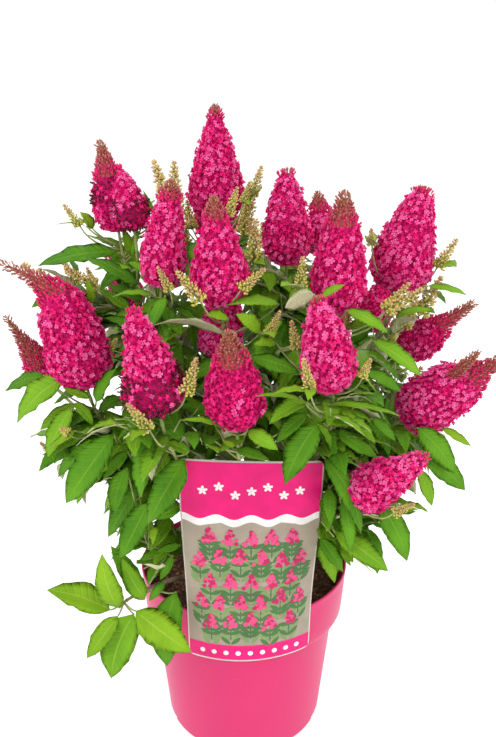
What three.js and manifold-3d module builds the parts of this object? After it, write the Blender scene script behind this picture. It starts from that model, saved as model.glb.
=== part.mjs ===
// A compact butterfly bush in a tapered plastic pot, with a card label hooked over the rim.
//
// Many thin stems rise from one short woody foot in the compost, lean outwards and end in dense
// conical flower heads. Leaves stand in opposite pairs, each pair turned a quarter from the last.
// Each stem is a bare bough up to where its leaves begin, then a mass of twigs and leaves, then a head.
//
// Millimetres. +Z is up, the front of the plant faces -Y, and the origin is the centre of the pot's
// flat underside.

import * as THREE from "three";
import { mergeVertices } from "three/addons/utils/BufferGeometryUtils.js";
import Module from "manifold-3d";

const wasm = await Module();
wasm.setup();

// ---- Driving dimensions --------------------------------------------------------------------------

const GAP = 0.3; // air between two pieces that meet
const UP = new THREE.Vector3(0, 0, 1);
const DEGREE = Math.PI / 180;

// Outer radii: rim at the top, bandFoot at the raised band's lower edge, neck just below it, and foot.
const POT = { height: 156, band: 44, rim: 95, bandFoot: 91.5, neck: 84.5, foot: 72.5 };
const WALL = { side: 1.8, floor: 2.6 };
const POT_SIDES = 32;
const SLOT = { count: 8, width: 15, depth: 7, height: 5 }; // drainage slots in the bottom corner
const SOIL = { top: 132, mound: 3, flat: 24 };
// Widths at the foot and the head. flatter is how far the head is from the pot's curve, air what
// parts the card from the band, and turn, in degrees, how far round the pot it stands.
const CARD = { foot: 97, head: 103, tall: 185, bottom: 114, thick: 0.9, air: 0.6 };
const CARD_SET = { flatter: 0.75, turn: 3.5 };
const HOOK = { wide: 26, thick: 1.0, drop: 14, inset: 3 }; // the strip that clips the card over the rim
const FOOT = { radius: 17, tip: 12.5, height: 36, flare: 24, sides: 14 }; // what every stem rises from

const BOUGH = { base: 2.3, tip: 1.6, sides: 5, steps: 4 }; // radii at the foot and where leaves begin
const STEM = { tip: 1.15, steps: 4, sides: 3, bare: 0.3 }; // bare is the share of a stem below its leaves
const LEAF = { long: 70, wide: 0.46, widest: 0.42, arch: 0.1, fold: 0.04 }; // all but long as its shares
// A leaf's way: so much out from its twig, along it, and towards the light with each further try.
const WAY = { out: 0.86, along: 0.42, light: 0.16, swing: 1.6, shrink: 0.05, tries: 10 };
const DROOP = { least: 0.75, range: 0.6, higher: -0.4 }; // and down, less so further up the stem
const PAIR_APART = 26; // along a stem, from one pair of leaves to the next
// Out, along and up are its way from the stem, which it leaves by so much above the armpit.
const TWIG = { long: 44, radius: 1.0, out: 0.8, along: 0.8, up: 0.2, armpit: 3 };
const TWIG_PAIR = { at: 0.9, size: 0.8, droop: 0.85 }; // its own pair of leaves
const HEAD = { sides: 7, tiers: 7, sunk: 3, rough: 0.3 }; // sunk: how far the stem runs up into it
const BUD = { long: 28, radius: 3.4, above: 0.7, up: 0.6 }; // a young flower spike, on the higher twigs
const SUNK = 0.25; // from a stem's middle to where a leaf is rooted in it
const CLEAR = 1; // a leaf keeps this far inside its own mass's space
const KEEP = { pot: 3, card: 5, behindCard: 20, bough: 2, head: 1.5 }; // and this far from the rest
const LOWEST = 100; // the height under which no leaf hangs

// One row for each stem: the azimuth at which it leaves the woody foot; its tip, or its flower head's
// foot, as azimuth, reach from the pot's axis and height; and how it points there, as a lean from
// upright towards an azimuth. Azimuths are degrees from +X. A head has a length and a radius, and nod
// bends its tip over by a share of its length. bare is the share of the stem below its leaves, leave
// the lean with which it leaves the foot, and pairs its number of pairs of leaves.
const STEMS = [
  ["top",               158,  158,  25, 470,  2,  -20, { long: 84, radius: 24 }],
  ["upper_left",       -160, -167, 100, 452,  7, -160, { long: 76, radius: 23 }],
  ["inner_left",       -140, -131,  92, 418,  8,  -40, { long: 78, radius: 20 }],
  ["centre",           -110, -100,  86, 408,  7, -110, { long: 78, radius: 23 }],
  ["inner_right",        30,  -30,  44, 428,  6, -120, { long: 76, radius: 23 }],
  ["right_of_centre",   -40,  -48,  96, 400,  8,  -50, { long: 86, radius: 27 }],
  ["upper_right",        10,   -6, 124, 406, 10,  -10, { long: 84, radius: 29 }],
  ["left",             -130, -150, 138, 342, 14, -155, { long: 103, radius: 25, nod: 0.26 }],
  ["front_left",       -115, -115, 136, 341, 15, -117, { long: 80, radius: 22 }],
  ["front",             -80,  -92, 122, 328, 18,  -98, { long: 74, radius: 21, leave: 14 }],
  ["front_right",       -70,  -62, 134, 354, 17, -125, { long: 74, radius: 20 }],
  ["right",             -60,  -24, 140, 314, 44,  -22, { long: 84, radius: 24 }],
  ["low_right",         -65,  -52, 134, 262, 46,  -44, { long: 80, radius: 23 }],
  ["back_right",         32,   32, 138, 366, 26,   35, { long: 80, radius: 23 }],
  ["back",               76,   76,  96, 420, 10,   80, { long: 76, radius: 23 }],
  ["back_inner",        118,  118,  70, 440,  8,  120, { long: 74, radius: 22 }],
  ["low_back",           98,   98, 146, 330, 34,   98, { long: 82, radius: 23 }],
  ["back_left",         142,  142, 136, 372, 24,  145, { long: 80, radius: 23 }],
  ["low_back_right",     58,   58, 152, 300, 40,   55, { long: 76, radius: 21 }],
  ["shoot_low_left",   -137, -137, 132, 168, 82, -115, { leave: 62, bare: 0.7, pairs: 3 }],
  ["shoot_low_front",  -130, -130, 116, 216, 66, -125, { bare: 0.4 }],
  ["shoot_low_right",   -20,  -36, 112, 244, 66,  -30, { bare: 0.4 }],
  ["shoot_upper_left",  165, -174, 118, 404, 62,  180, { bare: 0.45 }],
  ["shoot_side_left",  -160, -163, 116, 290, 58, -165, { bare: 0.36 }],
  ["shoot_side_right",  -10,   -6, 120, 286, 58,    0, { bare: 0.36 }],
  ["shoot_back_left",   162,  162, 140, 240, 66,  160, { bare: 0.4 }],
  ["shoot_back",        118,  118, 136, 236, 66,  118, { bare: 0.4 }],
  ["shoot_back_right",   24,   24, 138, 232, 66,   22, { bare: 0.4 }],
].map(([name, from, azimuth, reach, height, lean, towards, more]) => (
  { name, from, azimuth, reach, height, lean, towards, ...more }
));

// Heads on a twig of their own, which leaves the stem that carries them at the share SIDE_AT.
const SIDE_AT = 0.78;
const SIDE_HEADS = [
  { stem: "left", azimuth: -177, reach: 168, height: 322, lean: 24, towards: -165, long: 70, radius: 18 },
  { stem: "inner_right", azimuth: 30, reach: 80, height: 428, lean: 3, towards: 180, long: 62, radius: 19 },
  { stem: "right", azimuth: -1, reach: 128, height: 352, lean: 52, towards: -6, long: 78, radius: 20 },
];

// ---- Solids --------------------------------------------------------------------------------------

// A closed geometry as a solid that can be joined and cut.
function solid(geometry) {
  const bare = geometry.index ? geometry.toNonIndexed() : geometry.clone();
  bare.deleteAttribute("normal");
  bare.deleteAttribute("uv");
  const merged = mergeVertices(bare, 1e-4);
  return new wasm.Manifold(
    new wasm.Mesh({
      numProp: 3,
      vertProperties: merged.attributes.position.array,
      triVerts: new Uint32Array(merged.index.array),
    }),
  );
}

function geometryOf(body) {
  const mesh = body.getMesh();
  const geometry = new THREE.BufferGeometry();
  geometry.setAttribute("position", new THREE.BufferAttribute(mesh.vertProperties, 3));
  geometry.setIndex(new THREE.BufferAttribute(mesh.triVerts, 1));
  geometry.computeVertexNormals();
  return geometry;
}

const part = new THREE.Group();

function add(name, body, finish) {
  const material = new THREE.MeshStandardMaterial({ ...finish, flatShading: true });
  const mesh = new THREE.Mesh(geometryOf(body), material);
  mesh.name = name;
  part.add(mesh);
  return body;
}

// Triangles from a list of points and a list of corner triples.
function facets(points, triples) {
  const geometry = new THREE.BufferGeometry();
  const numbers = points.flatMap((p) => [p.x, p.y, p.z]);
  geometry.setAttribute("position", new THREE.Float32BufferAttribute(numbers, 3));
  geometry.setIndex(triples.flat());
  return geometry;
}

// Closed rings of points, all of one count, skinned one to the next and capped at both ends.
function skin(rings) {
  const count = rings[0].length;
  const points = rings.flat();
  const triples = [];
  for (let i = 0; i + 1 < rings.length; i++) {
    for (let j = 0; j < count; j++) {
      const a = i * count + j;
      const b = i * count + ((j + 1) % count);
      triples.push([a, b, b + count], [a, b + count, a + count]);
    }
  }
  const last = (rings.length - 1) * count;
  for (let j = 1; j + 1 < count; j++) triples.push([0, j + 1, j], [last, last + j, last + j + 1]);
  return facets(points, triples);
}

// ---- Pot, compost and label ----------------------------------------------------------------------

// Outer radius of the pot's body at a height below the band.
const bodyRadius = (z) => POT.foot + ((POT.neck - POT.foot) * z) / (POT.height - POT.band);
// Outer radius of the band at a height.
const bandRadius = (z) => POT.rim - ((POT.rim - POT.bandFoot) * (POT.height - z)) / POT.band;
const BAND_Z = POT.height - POT.band;

function lathe(profile, sides) {
  const turned = new THREE.LatheGeometry(profile.map(([r, z]) => new THREE.Vector2(r, z)), sides);
  return turned.rotateX(Math.PI / 2);
}

function potBody() {
  const { height, foot } = POT;
  const { side: wall, floor } = WALL;
  const outside = [
    [0, 0],
    [foot - 3, 0],
    [foot, 3],
    [bodyRadius(BAND_Z - 5), BAND_Z - 5],
    [POT.bandFoot - 1.5, BAND_Z],
    [bandRadius(BAND_Z + 3), BAND_Z + 3],
    [bandRadius(height - 2), height - 2],
    [POT.rim, height],
  ];
  const inside = [
    [POT.rim - wall, height],
    [bandRadius(BAND_Z + 4) - wall, BAND_Z + 4],
    [bodyRadius(BAND_Z - 4) - wall, BAND_Z - 4],
    [bodyRadius(floor) - wall, floor],
    [0, floor],
  ];
  let pot = solid(lathe([...outside, ...inside], POT_SIDES));
  for (let i = 0; i < SLOT.count; i++) {
    const box = new THREE.BoxGeometry(SLOT.depth * 2, SLOT.width, SLOT.height * 2);
    box.translate(foot, 0, 0).rotateZ((i + 0.5) * (360 / SLOT.count) * DEGREE);
    pot = pot.subtract(solid(box));
  }
  return pot;
}

function compost() {
  const { side: wall, floor } = WALL;
  const inset = wall + GAP;
  return solid(
    lathe(
      [
        [0, floor + GAP],
        [bodyRadius(floor) - inset - 0.2, floor + GAP],
        [bodyRadius(BAND_Z - 4) - inset - 0.2, BAND_Z - 4],
        [bandRadius(BAND_Z + 4) - inset - 0.2, BAND_Z + 4.5],
        [bandRadius(SOIL.top) - inset - 0.2, SOIL.top - 1],
        [72, SOIL.top + 1],
        [48, SOIL.top],
        [SOIL.flat, SOIL.top + SOIL.mound],
        [0, SOIL.top + SOIL.mound],
      ],
      POT_SIDES,
    ),
  );
}

// The card's face: across (-1 to 1) and up (0 to 1) give a point. It hugs the band at its foot and
// is nearly flat at its head, and it leans out with the band. behind sets a point back into the card.
function cardPoint(across, up, behind) {
  const half = (CARD.foot + (CARD.head - CARD.foot) * up) / 2;
  const height = CARD.bottom + CARD.tall * up;
  const forward = bandRadius(height) + CARD.air + CARD.thick;
  const radius = forward / (1 - CARD_SET.flatter * THREE.MathUtils.smoothstep(up, 0.22, 1));
  const turn = (across * half) / radius;
  const out = radius - behind;
  return new THREE.Vector3(out * Math.sin(turn), radius - forward - out * Math.cos(turn), height);
}

function labelCard() {
  const columns = 8;
  const rows = 5;
  const sheet = (behind) =>
    Array.from({ length: rows + 1 }, (_, i) =>
      Array.from({ length: columns + 1 }, (_, j) => cardPoint((2 * j) / columns - 1, i / rows, behind)),
    );
  const front = sheet(0);
  const back = sheet(CARD.thick);
  // Each row is a closed ring: along the front, then back along the rear.
  const card = solid(skin(front.map((row, i) => [...row, ...[...back[i]].reverse()])));
  // The hook: from the card's back over the rim and down inside it.
  const over = POT.height + GAP + 0.5;
  const inner = -(POT.rim - WALL.side - HOOK.inset);
  const onCard = cardPoint(0, (over - CARD.bottom) / CARD.tall, CARD.thick / 2).y;
  const strip = new THREE.Shape([
    new THREE.Vector2(onCard, over),
    new THREE.Vector2(inner + HOOK.thick, over),
    new THREE.Vector2(inner + HOOK.thick, over - HOOK.drop),
    new THREE.Vector2(inner + 2 * HOOK.thick, over - HOOK.drop),
    new THREE.Vector2(inner + 2 * HOOK.thick, over + HOOK.thick),
    new THREE.Vector2(onCard, over + HOOK.thick),
  ]);
  const hook = new THREE.ExtrudeGeometry(strip, { depth: HOOK.wide, bevelEnabled: false });
  hook.translate(0, 0, -HOOK.wide / 2);
  // The strip was drawn in y and z, and extruded along x.
  const [x, y] = [new THREE.Vector3(1, 0, 0), new THREE.Vector3(0, 1, 0)];
  hook.applyMatrix4(new THREE.Matrix4().makeBasis(y, UP, x));
  return card.add(solid(hook)).rotate([0, 0, CARD_SET.turn]);
}

// ---- Stems ---------------------------------------------------------------------------------------

// A point at an azimuth in degrees, a reach from the axis and a height.
function polar(azimuth, reach, height) {
  return new THREE.Vector3(reach * Math.cos(azimuth * DEGREE), reach * Math.sin(azimuth * DEGREE), height);
}

// A direction that leans so many degrees from upright, towards an azimuth.
function leaning(lean, towards) {
  return polar(towards, Math.sin(lean * DEGREE), Math.cos(lean * DEGREE));
}

// A number from 0 to 1 that depends only on its keys, so that every run grows the same plant.
function draw(a, b = 0, c = 0) {
  const s = Math.sin(a * 127.1 + b * 311.7 + c * 74.7) * 43758.5453;
  return s - Math.floor(s);
}

const SOIL_Z = SOIL.top + SOIL.mound;

// The line that a stem follows: a cubic curve from the woody foot to its tip. The further the stem
// leans out, the lower it leaves the foot.
function stemLine(row) {
  const chord = Math.atan2(row.reach, row.height - SOIL_Z) / DEGREE;
  const rise = THREE.MathUtils.mapLinear(Math.min(chord, 80), 0, 80, FOOT.height - 8, 6);
  const start = polar(row.from, FOOT.tip * 0.65, SOIL_Z + rise);
  const end = polar(row.azimuth, row.reach, row.height);
  const span = start.distanceTo(end);
  const leave = leaning(row.leave ?? 0.8 * chord, row.azimuth);
  return new THREE.CubicBezierCurve3(
    start,
    start.clone().addScaledVector(leave, span * 0.45),
    end.clone().addScaledVector(leaning(row.lean, row.towards), -span * 0.25),
    end,
  );
}

// Millimetres that a line runs for each unit of its share there.
const speed = (line, t) => line.getPoint(t + 0.01).distanceTo(line.getPoint(t)) / 0.01;

// Two directions square to a third, the first as level as it can be.
function across(direction) {
  const upright = Math.abs(direction.z) > 0.999;
  const level = upright ? new THREE.Vector3(1, 0, 0) : UP.clone().cross(direction).normalize();
  return [level, direction.clone().cross(level).normalize()];
}

// A point at a radius and a turn round a middle, in the plane of two directions.
const around = (middle, u, v, radius, turn) =>
  middle.clone().addScaledVector(u, radius * Math.cos(turn)).addScaledVector(v, radius * Math.sin(turn));

// Radius of a stem at a share of its line, where its leaves begin at the share bare.
const stemRadius = (t, bare) => (t < bare
  ? BOUGH.base + ((BOUGH.tip - BOUGH.base) * t) / bare
  : BOUGH.tip + ((STEM.tip - BOUGH.tip) * (t - bare)) / (1 - bare));

// A limb along a line between two shares of it, round or three-sided, with flat ends.
function limb(line, from, to, steps, sides, radius) {
  const rings = [];
  for (let i = 0; i <= steps; i++) {
    const t = from + ((to - from) * i) / steps;
    const middle = line.getPoint(t);
    const [u, v] = across(line.getTangent(t));
    rings.push(
      Array.from({ length: sides }, (_, j) => {
        const turn = (2 * Math.PI * j) / sides;
        return around(middle, u, v, radius(t), turn);
      }),
    );
  }
  return solid(skin(rings));
}

// The woody foot, or the room that it takes with some air round it.
function woodyFoot(air) {
  return solid(
    lathe(
      [
        [0, SOIL_Z + GAP - air],
        [FOOT.flare + air, SOIL_Z + GAP - air],
        [FOOT.radius + air, SOIL_Z + 7],
        [FOOT.tip + air, SOIL_Z + FOOT.height - 3],
        [FOOT.tip - 4 + air, SOIL_Z + FOOT.height + air],
        [0, SOIL_Z + FOOT.height + air],
      ],
      FOOT.sides,
    ),
  );
}

// ---- Flower heads --------------------------------------------------------------------------------

// Radius of a head, as a share of its widest, at a share of its length from the foot.
function headGirth(u) {
  if (u < 0.2) return 0.66 + 0.34 * Math.sin((u / 0.2) * (Math.PI / 2));
  return 1 - 0.88 * ((u - 0.2) / 0.8) ** 1.4;
}

// A point on a head's middle line, which may nod over towards its tip.
const headMiddle = ({ foot, way, long, nod, towards }, share) =>
  foot
    .clone()
    .addScaledVector(way, long * share)
    .addScaledVector(polar(towards, 1, 0), long * nod * share ** 2);

// A dense head: rings of clusters of blossom that stand out by more or less, up to a tip.
function head(row) {
  const { sides, tiers, sunk, rough } = HEAD;
  const [u, v] = across(row.way);
  const rings = [];
  for (let i = 0; i <= tiers; i++) {
    const share = i / tiers;
    const middle = headMiddle(row, share).addScaledVector(row.way, -sunk * (1 - share));
    rings.push(
      Array.from({ length: sides }, (_, j) => {
        const turn = (2 * Math.PI * (j + 0.5 * (i % 2))) / sides;
        const out = row.radius * headGirth(share) * (1 + rough * (draw(row.seed, i, j) - 0.5));
        return around(middle, u, v, out, turn);
      }),
    );
  }
  return solid(skin(rings));
}

// ---- Leaves and twigs ----------------------------------------------------------------------------

// A leaf as six facets: root, tip, two edges at its widest, and the midrib that stands above them.
// It arches over its length.
function leafPoints(root, direction, long) {
  const side = direction.clone().cross(UP);
  if (side.lengthSq() < 1e-4) side.set(1, 0, 0);
  side.normalize();
  const normal = side.clone().cross(direction).normalize();
  const half = (long * LEAF.wide) / 2;
  const chord = root
    .clone()
    .addScaledVector(direction, long * LEAF.widest)
    .addScaledVector(normal, long * (LEAF.arch - LEAF.fold));
  return [
    root,
    root.clone().addScaledVector(direction, long),
    chord.clone().addScaledVector(side, half),
    chord.clone().addScaledVector(side, -half),
    chord.clone().addScaledVector(normal, long * LEAF.fold),
  ];
}

const LEAF_FACETS = [
  [0, 2, 4], [2, 1, 4], [1, 3, 4], [3, 0, 4],
  [0, 3, 2], [1, 2, 3],
];

// Points spread over a leaf, on which its clearance is measured.
function leafSamples([root, tip, left, right, top]) {
  const samples = [tip, left, right, top];
  for (const share of [0.25, 0.5, 0.75]) {
    for (const edge of [left, right, top]) {
      samples.push(tip.clone().lerp(edge, share));
      if (share > 0.3) samples.push(root.clone().lerp(edge, share));
    }
  }
  return samples;
}

// A straight twig with three sides that tapers to its tip.
function twigSolid(from, to, radius) {
  const direction = to.clone().sub(from).normalize();
  const [u, v] = across(direction);
  const ring = (middle, r) =>
    [0, 1, 2].map((j) => {
      const turn = (2 * Math.PI * j) / 3;
      return around(middle, u, v, r, turn);
    });
  return solid(skin([ring(from, radius), ring(to, radius * 0.55)]));
}

// A young flower spike, still in bud: a slim spindle with three sides.
function budPoints(foot, direction) {
  const [u, v] = across(direction);
  const middle = foot.clone().addScaledVector(direction, BUD.long * 0.3);
  const corner = (j) => around(middle, u, v, BUD.radius, (2 * Math.PI * j) / 3);
  const tip = foot.clone().addScaledVector(direction, BUD.long);
  return [foot, tip, ...[0, 1, 2].map(corner)];
}

const BUD_FACETS = [
  [0, 3, 2], [0, 4, 3], [0, 2, 4],
  [1, 2, 3], [1, 3, 4], [1, 4, 2],
];

// ---- The plant -----------------------------------------------------------------------------------

// Each stem with its line, and with the points of its bough and of what its mass grows round.
const plant = STEMS.map((row) => {
  const line = stemLine(row);
  const bare = row.bare ?? STEM.bare;
  const points = line.getPoints(24);
  const enter = Math.round(24 * bare);
  const sides = SIDE_HEADS.filter(({ stem }) => stem === row.name).map(({ azimuth, reach, height }) => [
    line.getPoint(SIDE_AT),
    polar(azimuth, reach, height),
  ]);
  const spines = [points.slice(enter), ...sides];
  return { ...row, line, bare, bough: points.slice(0, enter + 1), spines };
});

// Every head as an axis with a radius.
const heads = [...plant.filter((row) => row.long), ...SIDE_HEADS].map((row, i) => ({
  ...row,
  seed: i + 1,
  nod: row.nod ?? 0.05,
  stem: row.stem ?? row.name,
  foot: polar(row.azimuth, row.reach, row.height),
  way: leaning(row.lean, row.towards),
}));

function toPolyline(point, spine) {
  let nearest = Infinity;
  const closest = new THREE.Vector3();
  for (let i = 0; i + 1 < spine.length; i++) {
    new THREE.Line3(spine[i], spine[i + 1]).closestPointToPoint(point, true, closest);
    nearest = Math.min(nearest, closest.distanceTo(point));
  }
  return nearest;
}

function touchesHead(point) {
  return heads.some((row) => {
    const along = point.clone().sub(row.foot).dot(row.way);
    if (along < -2 || along > row.long + 4) return false;
    const share = THREE.MathUtils.clamp(along / row.long, 0, 1);
    const girth = row.radius * headGirth(share) * (1 + HEAD.rough / 2);
    return point.distanceTo(headMiddle(row, share)) < girth + KEEP.head;
  });
}

// The pot below its rim, and the slab that the card stands in.
function touchesPot(point) {
  const reach = Math.hypot(point.x, point.y);
  if (point.z < POT.height + KEEP.pot && reach < POT.rim + KEEP.pot) return true;
  if (Math.abs(point.x) > CARD.head / 2 + KEEP.card || point.z < CARD.bottom - KEEP.card) return false;
  const up = (point.z - CARD.bottom) / CARD.tall;
  if (up > 1.02 || point.y > 0) return false;
  const front = cardPoint(0, up, 0).y;
  return point.y > front - KEEP.card && point.y < front + KEEP.behindCard;
}

// A mass's space is all that lies nearer to its own stem than to any other.
function inOwnSpace(point, own) {
  const toSpines = (row) => Math.min(...row.spines.map((spine) => toPolyline(point, spine)));
  const mine = toSpines(own);
  return plant.every((row) => row === own || toSpines(row) > mine + 2 * CLEAR);
}

const touchesBough = (point) => plant.some((row) => toPolyline(point, row.bough) < BOUGH.base + KEEP.bough);

const fits = (samples, own) =>
  samples.every(
    (p) => p.z > LOWEST && !touchesPot(p) && !touchesBough(p) && !touchesHead(p) && inOwnSpace(p, own),
  );

// One mass: the leafy part of a stem, its twigs, their leaves and young spikes, and its flower head.
function mass(own, key) {
  const { line, bare } = own;
  const enter = bare + GAP / speed(line, bare);
  const pieces = [limb(line, enter, 1, STEM.steps, STEM.sides, (t) => stemRadius(t, bare))];

  // A leaf points out from its twig, a little along it and down with its weight. It turns towards the
  // light, lower and shorter by turns, until it finds room, or is left out.
  const leaf = (root, out, along, droop, long, seed) => {
    const light = new THREE.Vector3(root.x, root.y, 0).normalize();
    for (let k = 0; k < WAY.tries; k++) {
      const way = out
        .clone()
        .applyAxisAngle(along, k ? (draw(seed, k) - 0.5) * WAY.swing : 0)
        .multiplyScalar(WAY.out)
        .addScaledVector(light, WAY.light * k)
        .addScaledVector(along, WAY.along * (1 - 0.25 * (k % 3)))
        .addScaledVector(UP, -droop * (0.7 + 0.2 * (k % 4)))
        .normalize();
      const points = leafPoints(root, way, long * (1 - WAY.shrink * k));
      if (!fits(leafSamples(points), own)) continue;
      pieces.push(solid(facets(points, LEAF_FACETS)));
      return;
    }
  };

  // A twig from a leaf's armpit, with a pair of leaves of its own and, high up, a young flower spike.
  const twig = (root, out, along, share, size, seed) => {
    const way = out
      .clone()
      .multiplyScalar(TWIG.out)
      .addScaledVector(along, TWIG.along)
      .addScaledVector(UP, TWIG.up)
      .normalize();
    const armpit = root.clone().addScaledVector(along, TWIG.armpit).addScaledVector(out, SUNK);
    const end = armpit.clone().addScaledVector(way, TWIG.long * (0.75 + 0.5 * draw(seed, 6)));
    if (!fits([0.3, 0.5, 0.7, 0.85, 1].map((s) => armpit.clone().lerp(end, s)), own)) return;
    pieces.push(twigSolid(armpit, end, TWIG.radius));
    const [p, q] = across(way);
    for (const side of [0, 1]) {
      const away = around(new THREE.Vector3(), p, q, 1, (side + draw(seed, 8)) * Math.PI);
      const joint = armpit.clone().lerp(end, TWIG_PAIR.at).addScaledVector(away, SUNK);
      leaf(joint, away, way, TWIG_PAIR.droop, size * TWIG_PAIR.size, seed + 0.3 + side * 0.1);
    }
    if (share < BUD.above) return;
    const bud = budPoints(armpit.clone().lerp(end, 0.97), way.clone().lerp(UP, BUD.up).normalize());
    if (fits(bud.slice(1), own)) pieces.push(solid(facets(bud, BUD_FACETS)));
  };

  const pairs = own.pairs ?? Math.round((line.getLength() * (1 - bare)) / PAIR_APART);
  for (let k = 0; k < pairs; k++) {
    const share = (k + 0.6) / pairs;
    const t = bare + (1 - bare) * share;
    const root = line.getPoint(t);
    const along = line.getTangent(t);
    const [u, v] = across(along);
    for (const hand of [0, 1]) {
      const seed = key * 100 + k * 10 + hand;
      const turn = (hand + k * 0.5 + 0.25 + 0.16 * (draw(seed, 1) - 0.5)) * Math.PI;
      const out = around(new THREE.Vector3(), u, v, 1, turn);
      const droop = DROOP.least + DROOP.range * draw(seed, 3) + DROOP.higher * share;
      const size = LEAF.long * (1 - 0.15 * share);
      const long = size * (0.85 + 0.3 * draw(seed, 2));
      leaf(root.clone().addScaledVector(out, SUNK), out, along, droop, long, seed);
      if ((k + hand) % 2) twig(root, out, along, share, size, seed);
    }
  }

  for (const row of heads.filter(({ stem }) => stem === own.name)) {
    pieces.push(head(row));
    if (row.name !== own.name) pieces.push(twigSolid(line.getPoint(SIDE_AT), row.foot, STEM.tip * 1.3));
  }
  return largest(pieces.reduce((whole, piece) => whole.add(piece)));
}

// The biggest of a body's separate parts, without scraps or sealed hollows.
const largest = (body) => body.decompose().sort((a, b) => b.volume() - a.volume())[0];

// ---- Assembly ------------------------------------------------------------------------------------

add("pot", potBody(), { color: 0xe8336f, roughness: 0.42, metalness: 0 });
add("compost", compost(), { color: 0x3a2a1e, roughness: 0.95, metalness: 0 });
add("label_card", labelCard(), { color: 0xe6178f, roughness: 0.35, metalness: 0 });
add("woody_foot", woodyFoot(0), { color: 0x6f5a44, roughness: 0.9, metalness: 0 });

const BARK = { color: 0x8a7a5c, roughness: 0.85, metalness: 0 };
const LEAFY = { color: 0x3f7a1f, roughness: 0.6, metalness: 0 };
const room = woodyFoot(GAP);
plant.forEach((own, i) => {
  const bough = limb(own.line, 0, own.bare, BOUGH.steps, BOUGH.sides, (t) => stemRadius(t, own.bare));
  add(`bough_${own.name}`, largest(bough.subtract(room)), BARK);
  add(`leaves_${own.name}`, mass(own, i + 1), LEAFY);
});
export default part;
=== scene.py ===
"""A butterfly bush in its pot, dressed piece by piece: pot, compost, label, stems, leaves, blossom.

Every surface is worked out in millimetres, with +Z up and the front of the plant facing -Y, and is
put into its mesh in metres.
"""

import bpy
import numpy as np
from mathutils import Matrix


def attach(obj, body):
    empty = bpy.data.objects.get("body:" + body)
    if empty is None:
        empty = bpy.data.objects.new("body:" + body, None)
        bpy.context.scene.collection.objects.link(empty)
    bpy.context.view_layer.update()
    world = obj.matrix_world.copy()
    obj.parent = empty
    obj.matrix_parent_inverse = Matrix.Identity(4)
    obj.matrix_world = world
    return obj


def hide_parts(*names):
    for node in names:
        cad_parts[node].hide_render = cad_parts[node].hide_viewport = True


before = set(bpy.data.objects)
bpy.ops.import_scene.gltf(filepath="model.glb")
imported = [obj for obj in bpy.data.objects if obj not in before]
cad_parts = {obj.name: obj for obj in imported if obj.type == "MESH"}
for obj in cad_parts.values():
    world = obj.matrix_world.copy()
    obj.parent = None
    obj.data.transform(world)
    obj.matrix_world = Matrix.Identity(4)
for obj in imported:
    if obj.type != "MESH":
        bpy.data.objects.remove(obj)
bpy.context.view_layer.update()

# ---- The pot -------------------------------------------------------------------------------------
# A tapered nursery pot with a raised band under its rim, moulded in one shot from pink
# polypropylene. The satin skin has faint flow marks and scuffs, and the foot has drainage recesses.

POT_HEIGHT = 156
POT_RIM = 95  # outer radii: at the rim, at the band's lower edge, just under it, and at the foot
POT_BAND_FOOT = 91.5
POT_NECK = 84.5
POT_FOOT = 72.5
BAND_HEIGHT = 44
BAND_Z = POT_HEIGHT - BAND_HEIGHT
POT_WALL = 1.8
RECESS_COUNT = 8
RECESS_WIDE = 15
RECESS_DEEP = 7
RECESS_HIGH = 5
THICK_FLOOR = 9  # the inside starts above the recesses, under the compost


def body_radius(z):
    """Outer radius of the pot's body: a straight taper from the foot to the neck."""
    return POT_FOOT + (POT_NECK - POT_FOOT) * z / BAND_Z


def band_radius(z):
    """Outer radius of the band: a straight taper from its lower edge to the rim."""
    return POT_RIM - (POT_RIM - POT_BAND_FOOT) * (POT_HEIGHT - z) / BAND_HEIGHT


def skin_faces(rows, columns):
    """Triangles of a skin over rings of points, joined all round and closed at a middle point at each end."""
    i, j = np.meshgrid(np.arange(rows - 1), np.arange(columns), indexing="ij")
    a = i * columns + j
    b = i * columns + (j + 1) % columns
    walls = np.stack([a, b, b + columns, a, b + columns, a + columns], -1).reshape(-1, 3)
    j = np.arange(columns)
    k = (j + 1) % columns
    first = np.full(columns, rows * columns)
    top = (rows - 1) * columns
    return np.vstack([walls, np.stack([k, j, first], -1), np.stack([j + top, k + top, first + 1], -1)])


def with_middles(rings):
    """Ring points (..., rows, columns, 3) as one list, with the middle of the first and the last ring."""
    flat = rings.reshape(*rings.shape[:-3], -1, 3)
    return np.concatenate([flat, rings[..., :1, :, :].mean(-2), rings[..., -1:, :, :].mean(-2)], -2)


def put(name, points, faces, finishes, slot, stands_for=(), uv=None, finish_of=None, smooth=True):
    """Makes a piece of points in millimetres and triangles, gives it its finish and rides it on the body."""
    mesh = bpy.data.meshes.new(name)
    mesh.vertices.add(len(points))
    mesh.vertices.foreach_set("co", (np.asarray(points) / 1000).astype(np.float32).ravel())
    mesh.loops.add(faces.size)
    mesh.loops.foreach_set("vertex_index", faces.astype(np.int32).ravel())
    mesh.polygons.add(len(faces))
    mesh.polygons.foreach_set("loop_start", np.arange(len(faces), dtype=np.int32) * 3)
    mesh.polygons.foreach_set("loop_total", np.full(len(faces), 3, np.int32))
    for finish in finishes:
        mesh.materials.append(finish)
    if finish_of is not None:
        mesh.polygons.foreach_set("material_index", finish_of.astype(np.int32))
    mesh.polygons.foreach_set("use_smooth", np.full(len(faces), smooth))
    if uv is not None:
        layer = mesh.uv_layers.new(name="UVMap")
        layer.data.foreach_set("uv", uv[faces.ravel()].astype(np.float32).ravel())
    mesh.update(calc_edges=True)
    piece = bpy.data.objects.new(name, mesh)
    bpy.context.scene.collection.objects.link(piece)
    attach(piece, "root")
    if stands_for:
        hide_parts(*stands_for)
    return piece


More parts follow.
